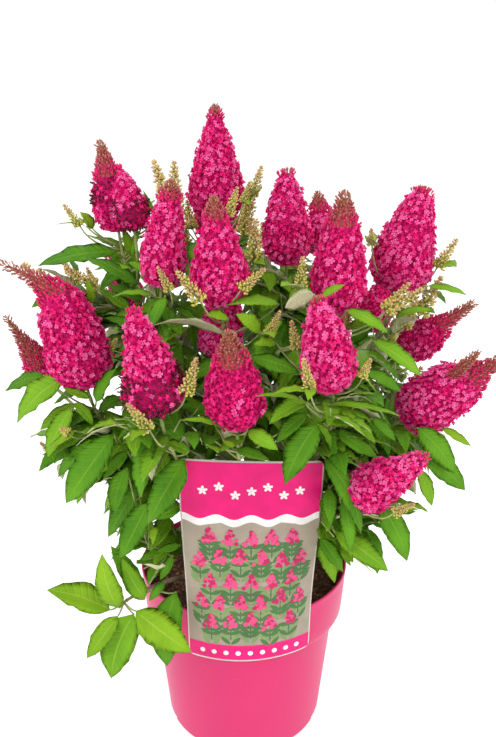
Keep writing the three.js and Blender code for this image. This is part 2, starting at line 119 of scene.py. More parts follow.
def new_finish(name, colour, roughness, **sockets):
    """A material with one shader, whose plain values are set on the shader's own sockets."""
    finish = bpy.data.materials.new(name)
    finish.use_nodes = True
    shader = finish.node_tree.nodes["Principled BSDF"]
    shader.inputs["Base Color"].default_value = (*colour, 1)
    shader.inputs["Roughness"].default_value = roughness
    for socket, value in sockets.items():
        shader.inputs[socket.replace("_", " ")].default_value = value
    return finish, finish.node_tree, shader


def new_group(name, inputs, outputs):
    """An empty shader node group with named sockets, each a name and a kind of socket."""
    group = bpy.data.node_groups.new(name, "ShaderNodeTree")
    for socket, kind in inputs:
        group.interface.new_socket(socket, in_out="INPUT", socket_type=kind)
    for socket, kind in outputs:
        group.interface.new_socket(socket, in_out="OUTPUT", socket_type=kind)
    return group, group.nodes.new("NodeGroupInput"), group.nodes.new("NodeGroupOutput")


def feed(tree, socket, value):
    """Feeds a node's socket from another socket, or sets it to a number or a colour."""
    if isinstance(value, bpy.types.NodeSocket):
        tree.links.new(value, socket)
    else:
        socket.default_value = (*value, 1) if isinstance(value, tuple) else value


def math_node(tree, operation, *values):
    """A Math node fed by sockets or by numbers; gives back its output."""
    node = tree.nodes.new("ShaderNodeMath")
    node.operation = operation
    for socket, value in zip(node.inputs, values):
        feed(tree, socket, value)
    return node.outputs[0]


def mixed_colour(tree, share, first, second):
    """The colour between two sockets or colours, by a share."""
    node = tree.nodes.new("ShaderNodeMix")
    node.data_type = "RGBA"
    for socket, value in zip((node.inputs[0], node.inputs[6], node.inputs[7]), (share, first, second)):
        feed(tree, socket, value)
    return node.outputs[2]


def noise_node(tree, per_metre, detail, distortion=0.0):
    """Noise in the piece's own space, with so many swells in a metre; gives back its output."""
    place = tree.nodes.new("ShaderNodeTexCoord")
    node = tree.nodes.new("ShaderNodeTexNoise")
    feed(tree, node.inputs["Vector"], place.outputs["Object"])
    feed(tree, node.inputs["Scale"], per_metre)
    feed(tree, node.inputs["Detail"], detail)
    feed(tree, node.inputs["Distortion"], distortion)
    return node.outputs["Fac"]


def ranged(tree, value, low, high, most=1.0):
    """A value from low to high, brought to 0 to most; gives back the output."""
    node = tree.nodes.new("ShaderNodeMapRange")
    feed(tree, node.inputs["Value"], value)
    feed(tree, node.inputs["From Min"], low)
    feed(tree, node.inputs["From Max"], high)
    feed(tree, node.inputs["To Max"], most)
    return node.outputs[0]


COLOUR = "NodeSocketColor"
NUMBER = "NodeSocketFloat"

# Uneven: soft patches of two colours, and a fine grain for the bump. Both are noise in the piece's space.
uneven, entry, leaving = new_group(
    "Uneven",
    [("Light", COLOUR), ("Dark", COLOUR), ("Patches per Metre", NUMBER), ("Grains per Metre", NUMBER)],
    [("Colour", COLOUR), ("Patch", NUMBER), ("Grain", NUMBER)],
)
patch = ranged(uneven, noise_node(uneven, entry.outputs["Patches per Metre"], 3), 0.32, 0.68)
blended = mixed_colour(uneven, patch, entry.outputs["Dark"], entry.outputs["Light"])
feed(uneven, leaving.inputs["Colour"], blended)
feed(uneven, leaving.inputs["Patch"], patch)
feed(uneven, leaving.inputs["Grain"], noise_node(uneven, entry.outputs["Grains per Metre"], 3))


def placed(tree, group, *values):
    """Places a node group in a material and feeds its inputs in their order; gives back its node."""
    node = tree.nodes.new("ShaderNodeGroup")
    node.node_tree = group
    for socket, value in zip(node.inputs, values):
        feed(tree, socket, value)
    return node


def bumped(tree, shader, height, strength, depth):
    """Feeds a height to the shader's normal, through a bump of so many metres."""
    bump = tree.nodes.new("ShaderNodeBump")
    feed(tree, bump.inputs["Strength"], strength)
    feed(tree, bump.inputs["Distance"], depth)
    feed(tree, bump.inputs["Height"], height)
    feed(tree, shader.inputs["Normal"], bump.outputs["Normal"])


pink, deeper_pink, rubbed_pink = (0.62, 0.022, 0.138), (0.57, 0.018, 0.122), (0.74, 0.12, 0.26)
pot_finish, tree, shader = new_finish("pink_satin_plastic", pink, 0.42, Specular_IOR_Level=0.3)
look = placed(tree, uneven, pink, deeper_pink, 14, 900)
scuffs = ranged(tree, noise_node(tree, 75, 6, 1.6), 0.66, 0.8, 0.35)
feed(tree, shader.inputs["Base Color"], mixed_colour(tree, scuffs, look.outputs["Colour"], rubbed_pink))
feed(tree, shader.inputs["Roughness"], math_node(tree, "MULTIPLY_ADD", look.outputs["Patch"], 0.12, 0.34))
bumped(tree, shader, look.outputs["Grain"], 0.12, 0.0003)

# The profile runs from the middle of the underside, up the outside, over the rim and down the inside.
profile = np.array(
    [
        (6, 0.0), (40, 0.0), (POT_FOOT - 8.5, 0.0), (POT_FOOT - 4, 0.0), (POT_FOOT - 1.4, 0.5),
        (POT_FOOT - 0.3, 1.6), (body_radius(3), 3), (body_radius(4.9), 4.9), (body_radius(5.6), 5.6),
        (body_radius(9), 9), (body_radius(30), 30), (body_radius(60), 60), (body_radius(90), 90),
        (body_radius(BAND_Z - 6), BAND_Z - 6), (body_radius(BAND_Z - 3), BAND_Z - 3),
        (POT_NECK + 0.6, BAND_Z - 1), (POT_NECK + 2.4, BAND_Z), (POT_BAND_FOOT - 2.2, BAND_Z + 0.6),
        (POT_BAND_FOOT - 0.6, BAND_Z + 1.2), (POT_BAND_FOOT, BAND_Z + 2.6),
        (band_radius(BAND_Z + 8), BAND_Z + 8), (band_radius(132), 132), (band_radius(148), 148),
        (POT_RIM - 0.5, POT_HEIGHT - 4), (POT_RIM - 0.1, POT_HEIGHT - 2.6), (POT_RIM, POT_HEIGHT - 1),
        (POT_RIM - 0.3, POT_HEIGHT - 0.2), (POT_RIM - 0.9, POT_HEIGHT), (POT_RIM - 1.5, POT_HEIGHT - 0.2),
        (POT_RIM - POT_WALL, POT_HEIGHT - 1), (band_radius(146) - POT_WALL, 146),
        (band_radius(130) - POT_WALL, 130), (band_radius(BAND_Z + 4) - POT_WALL, BAND_Z + 4),
        (body_radius(BAND_Z - 4) - POT_WALL, BAND_Z - 4), (body_radius(60) - POT_WALL, 60),
        (body_radius(THICK_FLOOR) - POT_WALL, THICK_FLOOR), (40, THICK_FLOOR), (6, THICK_FLOOR),
    ]
)
CORNER_FIRST = 3  # rows of the profile that a recess takes in, the first of them on the underside
CORNER_LAST = 7


def full_turn(count):
    """Angles of so many points, spaced evenly all round."""
    return np.linspace(0, 2 * np.pi, count, endpoint=False)


def turned(radius, turn, height):
    """Points of a turned form: radii and heights (rows, columns) at the angles of the columns."""
    return np.stack([radius * np.cos(turn), radius * np.sin(turn), height], -1)


turn = full_turn(256)
radius = np.repeat(profile[:, :1], len(turn), 1)
height = np.repeat(profile[:, 1:], len(turn), 1)
# A recess lies where its own middle is less than half its width away, and takes in the outer corner.
from_middle = (turn * RECESS_COUNT / (2 * np.pi)) % 1 - 0.5
inside_recess = np.abs(from_middle) * 2 * np.pi * POT_FOOT / RECESS_COUNT < RECESS_WIDE / 2
row = np.arange(len(profile))[:, None]
hollow = (row >= CORNER_FIRST) & (row <= CORNER_LAST) & inside_recess
radius = np.where(hollow, np.minimum(radius, POT_FOOT - RECESS_DEEP), radius)
height = np.where(hollow, np.maximum(height, (RECESS_HIGH - 0.3) * (row > CORNER_FIRST)), height)
points = with_middles(turned(radius, turn, height))
put("plastic_pot", points, skin_faces(*radius.shape), [pot_finish], "pot", ["pot"])

# ---- The compost ---------------------------------------------------------------------------------
# Coarse brown peat with bits of bark, poured in to two fingers under the rim and heaped a little
# round the stems. Loose crumbs and chips of bark lie on it.

SOIL_TOP = 132
SOIL_Z = 135  # where it meets the stump
PEAT_AIR = 0.5  # between the peat and the pot's wall


def hashed(a, b=0.0, c=0.0):
    """A number from 0 to 1 that depends only on its keys: the fraction of a large sine."""
    s = np.sin(np.asarray(a) * 127.1 + np.asarray(b) * 311.7 + np.asarray(c) * 74.7) * 43758.5453
    return s - np.floor(s)


def soil_height(x, y):
    """Height of the compost: a low mound, with lumps that are a sum of crossed waves, level at the wall."""
    reach = np.hypot(x, y)
    mound = SOIL_TOP + 3 * np.exp(-((reach / 42) ** 2))
    lumps = 1.1 * np.sin(0.21 * x + 1.3) * np.sin(0.17 * y + 0.4) + 0.6 * np.sin(0.47 * x - 0.39 * y)
    return mound + lumps * np.clip((88 - reach) / 12, 0, 1) + 0.35 * np.sin(1.1 * x) * np.sin(0.9 * y + 2)


def uneven_finish(name, light, dark, patches, grains, roughness, strength, depth, **sockets):
    """A finish of two colours in patches, with a bump of fine grains whose depth is in metres."""
    finish, tree, shader = new_finish(name, light, roughness, **sockets)
    look = placed(tree, uneven, light, dark, patches, grains)
    feed(tree, shader.inputs["Base Color"], look.outputs["Colour"])
    bumped(tree, shader, look.outputs["Grain"], strength, depth)
    return finish


peat_finish = uneven_finish(
    "moist_peat", (0.2, 0.1, 0.06), (0.07, 0.036, 0.022), 260, 1300, 0.95, 0.9, 0.0012
)
# The fill: rings of its underside, then up inside the wall, then over its top from the wall to its middle.
wall_z = np.array([THICK_FLOOR, 60, BAND_Z - 5, BAND_Z + 4.5, SOIL_TOP - 2])
wall_r = np.where(wall_z < BAND_Z, body_radius(wall_z), band_radius(wall_z)) - POT_WALL - PEAT_AIR
top_r = np.concatenate([np.linspace(wall_r[-1], 8, 46), [2.0]])
turn = full_turn(180)
radius = np.concatenate([[4, 40], wall_r, top_r])[:, None] + 0 * turn
level = np.concatenate([[THICK_FLOOR + 0.2] * 3, wall_z[1:]])
edge = len(level)
height = np.vstack([
    np.repeat(level[:, None], len(turn), 1),
    soil_height(radius[edge:] * np.cos(turn), radius[edge:] * np.sin(turn)),
])
height[edge] = np.minimum(height[edge], SOIL_TOP)
points = with_middles(turned(radius, turn, height))
put("peat", points, skin_faces(*radius.shape), [peat_finish], "compost", ["compost"])

# Crumbs are squashed lumps of eight faces, each turned and stretched its own way.
CRUMBS = 2600
CHIPS = 0.3  # the share of them that are bits of bark
octahedron = np.array([(1, 0, 0), (0, 1, 0), (-1, 0, 0), (0, -1, 0), (0, 0, 1), (0, 0, -1)], float)
octahedron_faces = np.array(
    [(0, 1, 4), (1, 2, 4), (2, 3, 4), (3, 0, 4), (1, 0, 5), (2, 1, 5), (3, 2, 5), (0, 3, 5)]
)


def joined(points, faces):
    """Joins copies of one form: points (copies, corners, 3), and the faces of one copy."""
    shift = np.arange(len(points))[:, None, None] * points.shape[1]
    return points.reshape(-1, 3), (faces[None] + shift).reshape(-1, 3)


def any_turn(spin, tip):
    """Rotation matrices: a tip of so much about x, then a spin of so much about z."""
    zero, one = np.zeros_like(spin), np.ones_like(spin)
    c, s = np.cos(spin), np.sin(spin)
    about_z = np.stack([c, -s, zero, s, c, zero, zero, zero, one], -1).reshape(-1, 3, 3)
    c, s = np.cos(tip), np.sin(tip)
    about_x = np.stack([one, zero, zero, zero, c, -s, zero, s, c], -1).reshape(-1, 3, 3)
    return about_z @ about_x


rng = np.random.default_rng(5)
reach = 88 * np.sqrt(rng.random(CRUMBS))
turn = 2 * np.pi * rng.random(CRUMBS)
x, y = reach * np.cos(turn), reach * np.sin(turn)
middle = np.column_stack([x, y, soil_height(x, y) + 0.5])
size = rng.uniform(0.9, 2.4, (CRUMBS, 1, 1)) * np.array([1.5, 1, 0.6]) * rng.uniform(0.7, 1.3, (CRUMBS, 6, 3))
lie = any_turn(rng.uniform(0, 6.28, CRUMBS), rng.uniform(-0.6, 0.6, CRUMBS))
crumbs = (octahedron * size) @ lie.transpose(0, 2, 1) + middle[:, None]
bark_chips = rng.random(CRUMBS) < CHIPS
chip_finish = uneven_finish(
    "bark_chips", (0.46, 0.23, 0.13), (0.14, 0.07, 0.04), 140, 1500, 0.85, 0.6, 0.0005
)
put("peat_crumbs", *joined(crumbs[~bark_chips], octahedron_faces), [peat_finish], "compost", smooth=False)
put("bark_chips", *joined(crumbs[bark_chips], octahedron_faces), [chip_finish], "compost", smooth=False)

# ---- The label -----------------------------------------------------------------------------------
# A glossy card, clipped over the rim by a strip at its back. It hugs the pot's band at its foot and
# is nearly flat at its head. Its face is printed with plain bands and a repeat of simple sprigs.

CARD_FOOT = 107
CARD_HEAD = 109
CARD_TALL = 185
CARD_BOTTOM = 114
CARD_THICK = 0.9
CARD_AIR = 0.6  # between the card and the band
CARD_EASES = 0.22  # the share of its height at which its curve begins to ease
CARD_FLATTER = 0.75  # how much of the curve is gone at its head
CARD_TURN = np.radians(3.5)
CARD_SKEW_FOOT = 1.2  # how far its right edge is raised at its foot and at its head
CARD_SKEW_HEAD = -2.6
CARD_ROUNDING = 5
CARD_MARGIN = 1.2  # left bare of print at its sides
PRINT = 0.12  # how far a printed shape stands out of the card, and half of how thick it is


def smooth(share):
    """An ease from 0 to 1."""
    share = np.clip(share, 0, 1)
    return share * share * (3 - 2 * share)


def card_point(across, up, behind):
    """The card's face at across (-1 to 1) and up (0 to 1): an arc whose radius grows towards the head."""
    half = (CARD_FOOT + (CARD_HEAD - CARD_FOOT) * up) / 2
    skew = CARD_SKEW_FOOT + (CARD_SKEW_HEAD - CARD_SKEW_FOOT) * up
    height = CARD_BOTTOM + CARD_TALL * up + across * skew
    forward = band_radius(height) + CARD_AIR + CARD_THICK
    radius = forward / (1 - CARD_FLATTER * smooth((up - CARD_EASES) / (1 - CARD_EASES)))
    turn = across * half / radius
    out = radius - behind
    x, y = out * np.sin(turn), radius - forward - out * np.cos(turn)
    c, s = np.cos(CARD_TURN), np.sin(CARD_TURN)
    return np.stack([c * x - s * y, s * x + c * y, height + 0 * x], -1)


def slab(outline, behind, thick):
    """A thin plate that follows the card: its outline goes round in across and up, filled towards its middle.

    outline is (rings, corners, 2) from the edge in to the last ring, and both faces share the edge.
    """
    face = card_point(outline[..., 0], outline[..., 1], behind)
    back = card_point(outline[..., 0], outline[..., 1], behind + thick)
    rings = np.concatenate([back[::-1], face])
    return with_middles(rings), skin_faces(*rings.shape[:2])


def shrunk(edge, rings):
    """Rings from a closed edge in towards its middle."""
    middle = edge.mean(0)
    share = np.linspace(1, 0.06, rings)[:, None, None]
    return middle + (edge - middle) * share


def card_edge(count):
    """The card's outline in across and up: a rectangle with rounded corners, anticlockwise."""
    a = CARD_ROUNDING / (CARD_FOOT / 2)
    b = CARD_ROUNDING / CARD_TALL
    turn = np.linspace(0, np.pi / 2, 6)
    corners = [(1 - a, 1 - b), (-1 + a, 1 - b), (-1 + a, b), (1 - a, b)]
    parts = []
    for k, (x, y) in enumerate(corners):
        angle = turn + k * np.pi / 2
        arc = np.column_stack([x + a * np.cos(angle), y + b * np.sin(angle)])
        following = corners[(k + 1) % 4]
        angle = (k + 1) * np.pi / 2
        start = np.array([following[0] + a * np.cos(angle), following[1] + b * np.sin(angle)])
        side = arc[-1] + (start - arc[-1]) * np.linspace(0, 1, count, endpoint=False)[1:, None]
        parts += [arc, side]
    return np.vstack(parts)


card_white = uneven_finish(
    "card_field", (0.74, 0.71, 0.62), (0.56, 0.53, 0.44), 22, 1200, 0.32, 0.05, 0.0001, Coat_Weight=0.4
)
points, faces = slab(shrunk(card_edge(24), 22), 0, CARD_THICK)
put("label", points, faces, [card_white], "label", ["label_card"])

# The clip: a strip from the card's back over the rim and down inside it.
CLIP_HALF = 13  # half of its width
CLIP_DOWN = 14  # how far it reaches down inside
over = POT_HEIGHT + 0.8
hook_y = -(POT_RIM - POT_WALL - 3)
on_card = card_point(np.array(0.0), np.array((over - CARD_BOTTOM) / CARD_TALL), CARD_THICK / 2)[1]
spine = np.array(
    [
        (on_card, over + 0.5), (hook_y + 3, over + 0.5), (hook_y + 2.2, over + 0.3), (hook_y + 1.5, over - 1),
        (hook_y + 1.5, over - CLIP_DOWN),
    ]
)
sideways = np.array([(0, 0.5), (0, 0.5), (0.35, 0.35), (0.5, 0), (0.5, 0)])
strip = np.stack(
    [
        np.column_stack([np.full(len(spine), side * CLIP_HALF), spine + k * sideways])
        for side, k in ((-1, 1), (1, 1), (1, -1), (-1, -1))
    ],
    1,
)
c, s = np.cos(CARD_TURN), np.sin(CARD_TURN)
strip = strip @ np.array([(c, -s, 0), (s, c, 0), (0, 0, 1)]).T
points, faces = with_middles(strip), skin_faces(*strip.shape[:2])[:, ::-1]
put("label_clip", points, faces, [card_white], "label", smooth=False)

INKS = {
    "taupe": (0.36, 0.3, 0.23), "magenta": (0.78, 0.0, 0.17), "white": (0.86, 0.82, 0.8),
    "leaf": (0.06, 0.17, 0.045), "moss": (0.2, 0.3, 0.11), "rose": (0.78, 0.07, 0.22),
    "deep": (0.5, 0.012, 0.1),
}
prints = {ink: [] for ink in INKS}


def stamp(ink, edge, layer=1):
    """Prints a shape, given by its outline in across and up, with more rings the wider it is.

    No two of 31 shapes of an ink stand out equally far, so that none lies in another's plane.
    """
    wide = np.ptp(edge[:, 0])
    rings = 12 if wide > 0.6 else 4 if wide > 0.22 else 2 if wide > 0.12 else 1
    out = PRINT * (layer + 0.9 * (len(prints[ink]) % 31) / 31)
    prints[ink].append(slab(shrunk(edge, rings), -out, out + PRINT))


def oval(x, y, long, wide, turn, count=14, sharp=1.0):
    """An oval or leaf outline about (x, y) on the card, in millimetres from its foot's middle."""
    t = full_turn(count)
    a = long / 2 * np.cos(t)
    b = wide / 2 * np.sin(t) * np.abs(np.sin(t)) ** (sharp - 1)
    px = x + a * np.cos(turn) - b * np.sin(turn)
    py = y + a * np.sin(turn) + b * np.cos(turn)
    return np.column_stack([px / (CARD_FOOT / 2), py / CARD_TALL])


def band(low, high, wave, start=-1.0, end=1.0, count=40):
    """A band across the card between two heights in millimetres, its lower edge in waves."""
    margin = 1 - CARD_MARGIN / (CARD_FOOT / 2)
    x = np.linspace(start, end, count)
    lower = (low + wave * np.cos(x * np.pi * 4)) / CARD_TALL
    top = high / CARD_TALL
    right = [(end * margin, y) for y in np.linspace(lower[-1], top, 14)[1:-1]]
    left = [(start * margin, y) for y in np.linspace(lower[0], top, 14)[-2:0:-1]]
    upper = np.column_stack([x[::-1] * margin, np.full(count, top)])
    return np.vstack([np.column_stack([x * margin, lower]), right, upper, left])


# The head's magenta band and the white wave under it are printed in sections, so that they keep to the curve.
WAVE = 2.2
stamp("taupe", band(2, 146, 0))
for k in range(4):
    stamp("magenta", band(137.5, CARD_TALL - 1.5, WAVE, k / 2 - 1, k / 2 - 0.5, 20), 4)
for k in range(8):
    stamp("white", band(131, 142, WAVE, k / 4 - 1, k / 4 - 0.75, 10), 2)
stamp("magenta", band(1.5, 16, 0), 2)
stamp("white", band(131.5, 142, WAVE), 2)
for k in range(7):
    x, y = -36 + 12 * k, 160 + 4 * np.sin(k * 2.1)
    for petal in range(5):
        angle = petal * 2 * np.pi / 5 + 0.3
        stamp("white", oval(x + 2.1 * np.cos(angle), y + 2.1 * np.sin(angle), 3.6, 2.1, angle), 6)
for k in range(9):
    stamp("white", oval(-40 + 10 * k, 8.5, 4.4, 4.4, 0), 4)
# The sprigs stand in rows of five and six: leaves on a stalk under a cone of dots.
SPRIG_APART = 16
ROW_APART = 20
for row in range(5):
    for column in range(5 + row % 2):
        x = (column - (4 + row % 2) / 2) * SPRIG_APART
        y = 31 + row * ROW_APART + 5 * (hashed(row, column, 5) - 0.5)
        stamp("leaf", oval(x, y - 2, 18, 1.3, np.pi / 2), 2)
        for k in range(4):
            for side in (-1, 1):
                angle = np.pi / 2 - side * (0.6 + 0.16 * k + 0.3 * hashed(row, column, k))
                at_x, at_y = x + side * 4.2, y - 10.5 + 4.2 * k
                ink = "leaf" if hashed(k, column, row) > 0.4 else "moss"
                stamp(ink, oval(at_x, at_y, 10.5, 3.8, angle, sharp=1.6), 2)
        for k in range(30):
            share = (k + 0.5) / 30
            at_x = x + (5.6 * (1 - share) ** 0.7 + 0.5) * (2 * hashed(k, row, column) - 1)
            dot = 3.6 * (1 - 0.4 * share)
            ink = "rose" if hashed(k, column) > 0.45 else "deep"
            stamp(ink, oval(at_x, y + 3 + 13 * share, dot, dot, 0, 7), 4)
for ink, shapes in prints.items():
    tint = INKS[ink]
    finish = uneven_finish(
        f"ink_{ink}", tint, tuple(0.8 * v for v in tint), 60, 1500, 0.42, 0.05, 0.0001,
        Coat_Weight=0.06, Specular_IOR_Level=0.25,
    )
    counts = np.cumsum([0] + [len(points) for points, _ in shapes])
    points = np.vstack([points for points, _ in shapes])
    faces = np.vstack([faces + start for (_, faces), start in zip(shapes, counts)])
    put(f"print_{ink}", points, faces, [finish], "label", smooth=False)

# ---- The stems -----------------------------------------------------------------------------------
# Many thin woody stems rise from one short stump, lean outwards and turn up to carry a flower head
# each. The lower half is grey-brown and ridged, the upper half green and swollen at each leaf pair.

STUMP_FLARE = 24  # radii of the stump at the compost, above its flare and at its top
STUMP_RADIUS = 17
STUMP_TIP = 12.5
STUMP_HEIGHT = 36
FORK_HIGH = 28  # how far up the stump the most upright and the flattest stems leave it
FORK_LOW = 6
FLATTEST = 80  # degrees from upright
BOUGH_BASE = 2.3  # radii of a stem at its foot, where its leaves begin, and at its tip
BOUGH_TIP = 1.6
STEM_TIP = 1.15
STEM_BARE = 0.3  # the share of a stem below its leaves
PAIR_APART = 26  # from one pair of leaves to the next along a stem
FIRST_PAIR = 0.6  # where the lowest pair stands, as a share of that step
LIMB_ROWS = 30
LIMB_SIDES = 10
OVERLAP = 0.12  # the share of a stem over which its bough and its green part overlap

# Name, azimuth at which it leaves the stump, azimuth, reach and height of its tip or its head's foot,
# lean and the azimuth that it leans towards there. Of the stem, leave is its lean at the stump, bare the
# share below its leaves and pairs their number. Of its head, long and radius are the size and open the
# share that has opened; between the two shares of faded it has withered. taper and power say how it
# narrows, slim and ease how thick its spike of buds is and over which share it gets so, nod and curl
# how it bends, and lift how long its bare stalk is. One more key, for painted shade, says how much darker
# its florets are painted than the others': a head that sits under others gets painted shade.
STEMS = [
    ("top", 158, 158, 24, 460, 0, 0, dict(long=92, radius=24, nod=0, open=0.9, taper=0.85, power=1.3)),
    ("upper_left", -160, -167, 100, 452, 6.5, -160, dict(
        long=72, radius=17.5, open=0.6, lift=9, faded=(0.42, 0.66), painted_shade=0.12,
    )),
    ("inner_left", -140, -131, 92, 418, 8, -40, dict(long=78, radius=17.5, open=0.84, taper=0.7)),
    ("centre", -110, -100, 86, 408, 7, -110, dict(
        long=78, radius=21.5, open=0.78, taper=0.83, power=1.3, painted_shade=0.06,
    )),
    ("inner_right", 30, -33, 41, 428, 6, -95, dict(long=75, radius=20, open=0.97, taper=0.68)),
    ("right_of_centre", -40, -45.5, 100, 400, 3, -85, dict(long=88, radius=21, open=0.72, taper=0.7)),
    ("upper_right", 10, -6, 124, 406, 10, -10, dict(long=84, radius=26, open=0.98, taper=0.66)),
    ("left", -130, -150, 138, 342, 9, -155, dict(
        long=103, radius=24.8, painted_shade=0.03, nod=0.1, open=0.72, taper=0.62, curl=1.95, slim=0.25, ease=0.28,
    )),
    ("front_left", -115, -115, 136, 341, 15, -117, dict(
        long=80, radius=22.5, open=1.0, faded=(0.0, 0.42), taper=0.74, power=1.0,
    )),
    ("front", -80, -92, 122, 329, 18, -98, dict(
        long=79, radius=21, leave=14, open=0.66, lift=10, taper=0.72, painted_shade=0.15,
    )),
    ("front_right", -70, -62, 134, 354, 17, -125, dict(
        long=74, radius=19, open=0.95, lift=9, taper=0.8, power=2.0,
    )),
    ("right", -60, -24, 140, 314, 50, -18, dict(
        long=90, radius=23.5, open=0.64, lift=3, taper=0.5, slim=0.32, ease=0.3,
    )),
    ("low_right", -65, -52, 134, 267, 46, -44, dict(long=74, radius=18.5, open=0.97)),
    ("back_right", 32, 32, 138, 352, 26, 35, dict(long=66, radius=18, open=0.8)),
    ("back", 76, 69, 100, 418, 8, 80, dict(long=68, radius=18, open=0.8)),
    ("back_inner", 118, 112, 66, 438, 8, 100, dict(long=70, radius=21, open=0.85)),
    ("low_back", 98, 98, 146, 330, 34, 98, dict(long=82, radius=23, open=0.7)),
    ("back_left", 142, 142, 136, 372, 24, 145, dict(long=62, radius=17, open=0.85)),
    ("low_back_right", 58, 58, 152, 300, 40, 55, dict(long=76, radius=21, open=0.75)),
    ("shoot_low_left", -137, -137, 132, 168, 82, -115, dict(leave=62, bare=0.7, pairs=3)),
    ("shoot_low_front", -130, -130, 116, 216, 66, -125, dict(bare=0.4)),
    ("shoot_low_right", -20, -36, 112, 244, 66, -30, dict(bare=0.4)),
    ("shoot_upper_left", 165, -174, 118, 404, 62, 180, dict(bare=0.45)),
    ("shoot_side_left", -160, -163, 116, 290, 58, -165, dict(bare=0.36)),
    ("shoot_side_right", -10, -6, 120, 286, 58, 0, dict(bare=0.36)),
    ("shoot_back_left", 162, 162, 140, 240, 66, 160, dict(bare=0.4)),
    ("shoot_back", 118, 118, 136, 236, 66, 118, dict(bare=0.4)),
    ("shoot_back_right", 24, 24, 138, 232, 66, 22, dict(bare=0.4)),
]
SIDE_AT = 0.78  # the share of a stem at which the twig of a side head leaves it
# Heads on a twig of their own: the stem that carries them, azimuth, reach, height, lean and towards.
SIDE_HEADS = [
    ("left", -177, 163, 325, 26, -165, dict(long=69, radius=13.5, open=0.22, taper=0.7, ease=0.8)),
    ("upper_left", -157, 90, 455, 8, 180, dict(long=50, radius=15.5, open=1.0, faded=(0.0, 0.5))),
    ("centre", -105, 62, 362, 6, 160, dict(long=48, radius=18, open=0.9)),
    ("inner_right", 30, 80, 428, 3, 180, dict(long=56, radius=17.5, open=0.7)),
    ("right", -1, 132, 349, 49, -6, dict(
        long=74, radius=17, open=0.5, taper=0.5, painted_shade=0.03, slim=0.4, ease=0.3,
    )),
]
UP = np.array([0.0, 0.0, 1.0])


def unit(v):
    """The direction of a vector, or of rows of them."""
    return v / np.linalg.norm(v, axis=-1, keepdims=True)


def polar(azimuth, reach, height):
    """A point at an azimuth in degrees, a reach from the axis and a height."""
    a = np.radians(azimuth)
    return np.array([reach * np.cos(a), reach * np.sin(a), height], float)


def leaning(lean, towards):
    """A direction that leans so many degrees from upright, towards an azimuth."""
    return polar(towards, np.sin(np.radians(lean)), np.cos(np.radians(lean)))


def curve(handles, t):
    """Points of a cubic curve with four handles, at shares t of it."""
    t = np.asarray(t, float)[..., None]
    a, b, c, d = handles
    return (1 - t) ** 3 * a + 3 * (1 - t) ** 2 * t * b + 3 * (1 - t) * t**2 * c + t**3 * d


def tangent(handles, t):
    """Directions of the curve at shares t, from two points close on either side."""
    t = np.asarray(t, float)
    return unit(curve(handles, np.minimum(t + 1e-4, 1)) - curve(handles, np.maximum(t - 1e-4, 0)))


def across(direction):
    """Two directions square to each direction and to each other, the first one level."""
    level = np.cross(UP, direction)
    upright = np.linalg.norm(level, axis=-1, keepdims=True) < 0.045
    level = unit(np.where(upright, np.array([1.0, 0, 0]), level))
    return level, unit(np.cross(direction, level))


class Stem:
    """One stem: the curve from the stump to its tip, and its share below its leaves."""

    def __init__(self, key, name, leaves_at, azimuth, reach, height, lean, towards, more):
        self.key, self.name, self.more = key, name, more
        chord = np.degrees(np.arctan2(reach, height - SOIL_Z))
        rise = FORK_HIGH + (FORK_LOW - FORK_HIGH) * min(chord, FLATTEST) / FLATTEST
        start = polar(leaves_at, STUMP_TIP * 0.65, SOIL_Z + rise)
        end = polar(azimuth, reach, height)
        span = np.linalg.norm(end - start)
        leave = leaning(more.get("leave", 0.8 * chord), azimuth)
        at_end = leaning(lean, towards)
        self.handles = np.array([start, start + leave * span * 0.45, end - at_end * span * 0.25, end])
        self.bare = more.get("bare", STEM_BARE)
        steps = curve(self.handles, np.linspace(0, 1, 201))
        length = np.linalg.norm(np.diff(steps, axis=0), axis=1).sum()
        self.pairs = more.get("pairs") or int(length * (1 - self.bare) / PAIR_APART + 0.5)

    def radius(self, t):
        """Radius at shares t: one taper up to where the leaves begin, and another above."""
        low = BOUGH_BASE + (BOUGH_TIP - BOUGH_BASE) * t / self.bare
        high = BOUGH_TIP + (STEM_TIP - BOUGH_TIP) * (t - self.bare) / (1 - self.bare)
        return np.where(t < self.bare, low, high)


stems = [Stem(i + 1, *row) for i, row in enumerate(STEMS)]
by_name = {stem.name: stem for stem in stems}


def round_ways(p, q, turn):
    """Directions at angles that go round from p towards q, for each pair of them."""
    return p[..., None, :] * np.cos(turn)[..., None] + q[..., None, :] * np.sin(turn)[..., None]


def tube(stem, t, radius, ridge):
    """A closed limb along a stem: circles whose radius swells in ridges that wander round it."""
    turn = full_turn(LIMB_SIDES)
    t = t[:, None]
    wave = np.sin(3 * turn + 9 * t + stem.key) + 0.6 * np.sin(5 * turn - 23 * t + 2 * stem.key)
    r = radius[:, None] * (1 + ridge * wave)
    u, v = across(tangent(stem.handles, t[:, 0]))
    return with_middles(curve(stem.handles, t) + r[..., None] * round_ways(u, v, turn))


bark_finish = uneven_finish(
    "grey_brown_bark", (0.4, 0.32, 0.21), (0.17, 0.11, 0.065), 120, 900, 0.85, 0.7, 0.0008
)
green_wood = uneven_finish(
    "green_stem", (0.37, 0.42, 0.14), (0.17, 0.24, 0.06), 160, 1600, 0.6, 0.35, 0.0003
)

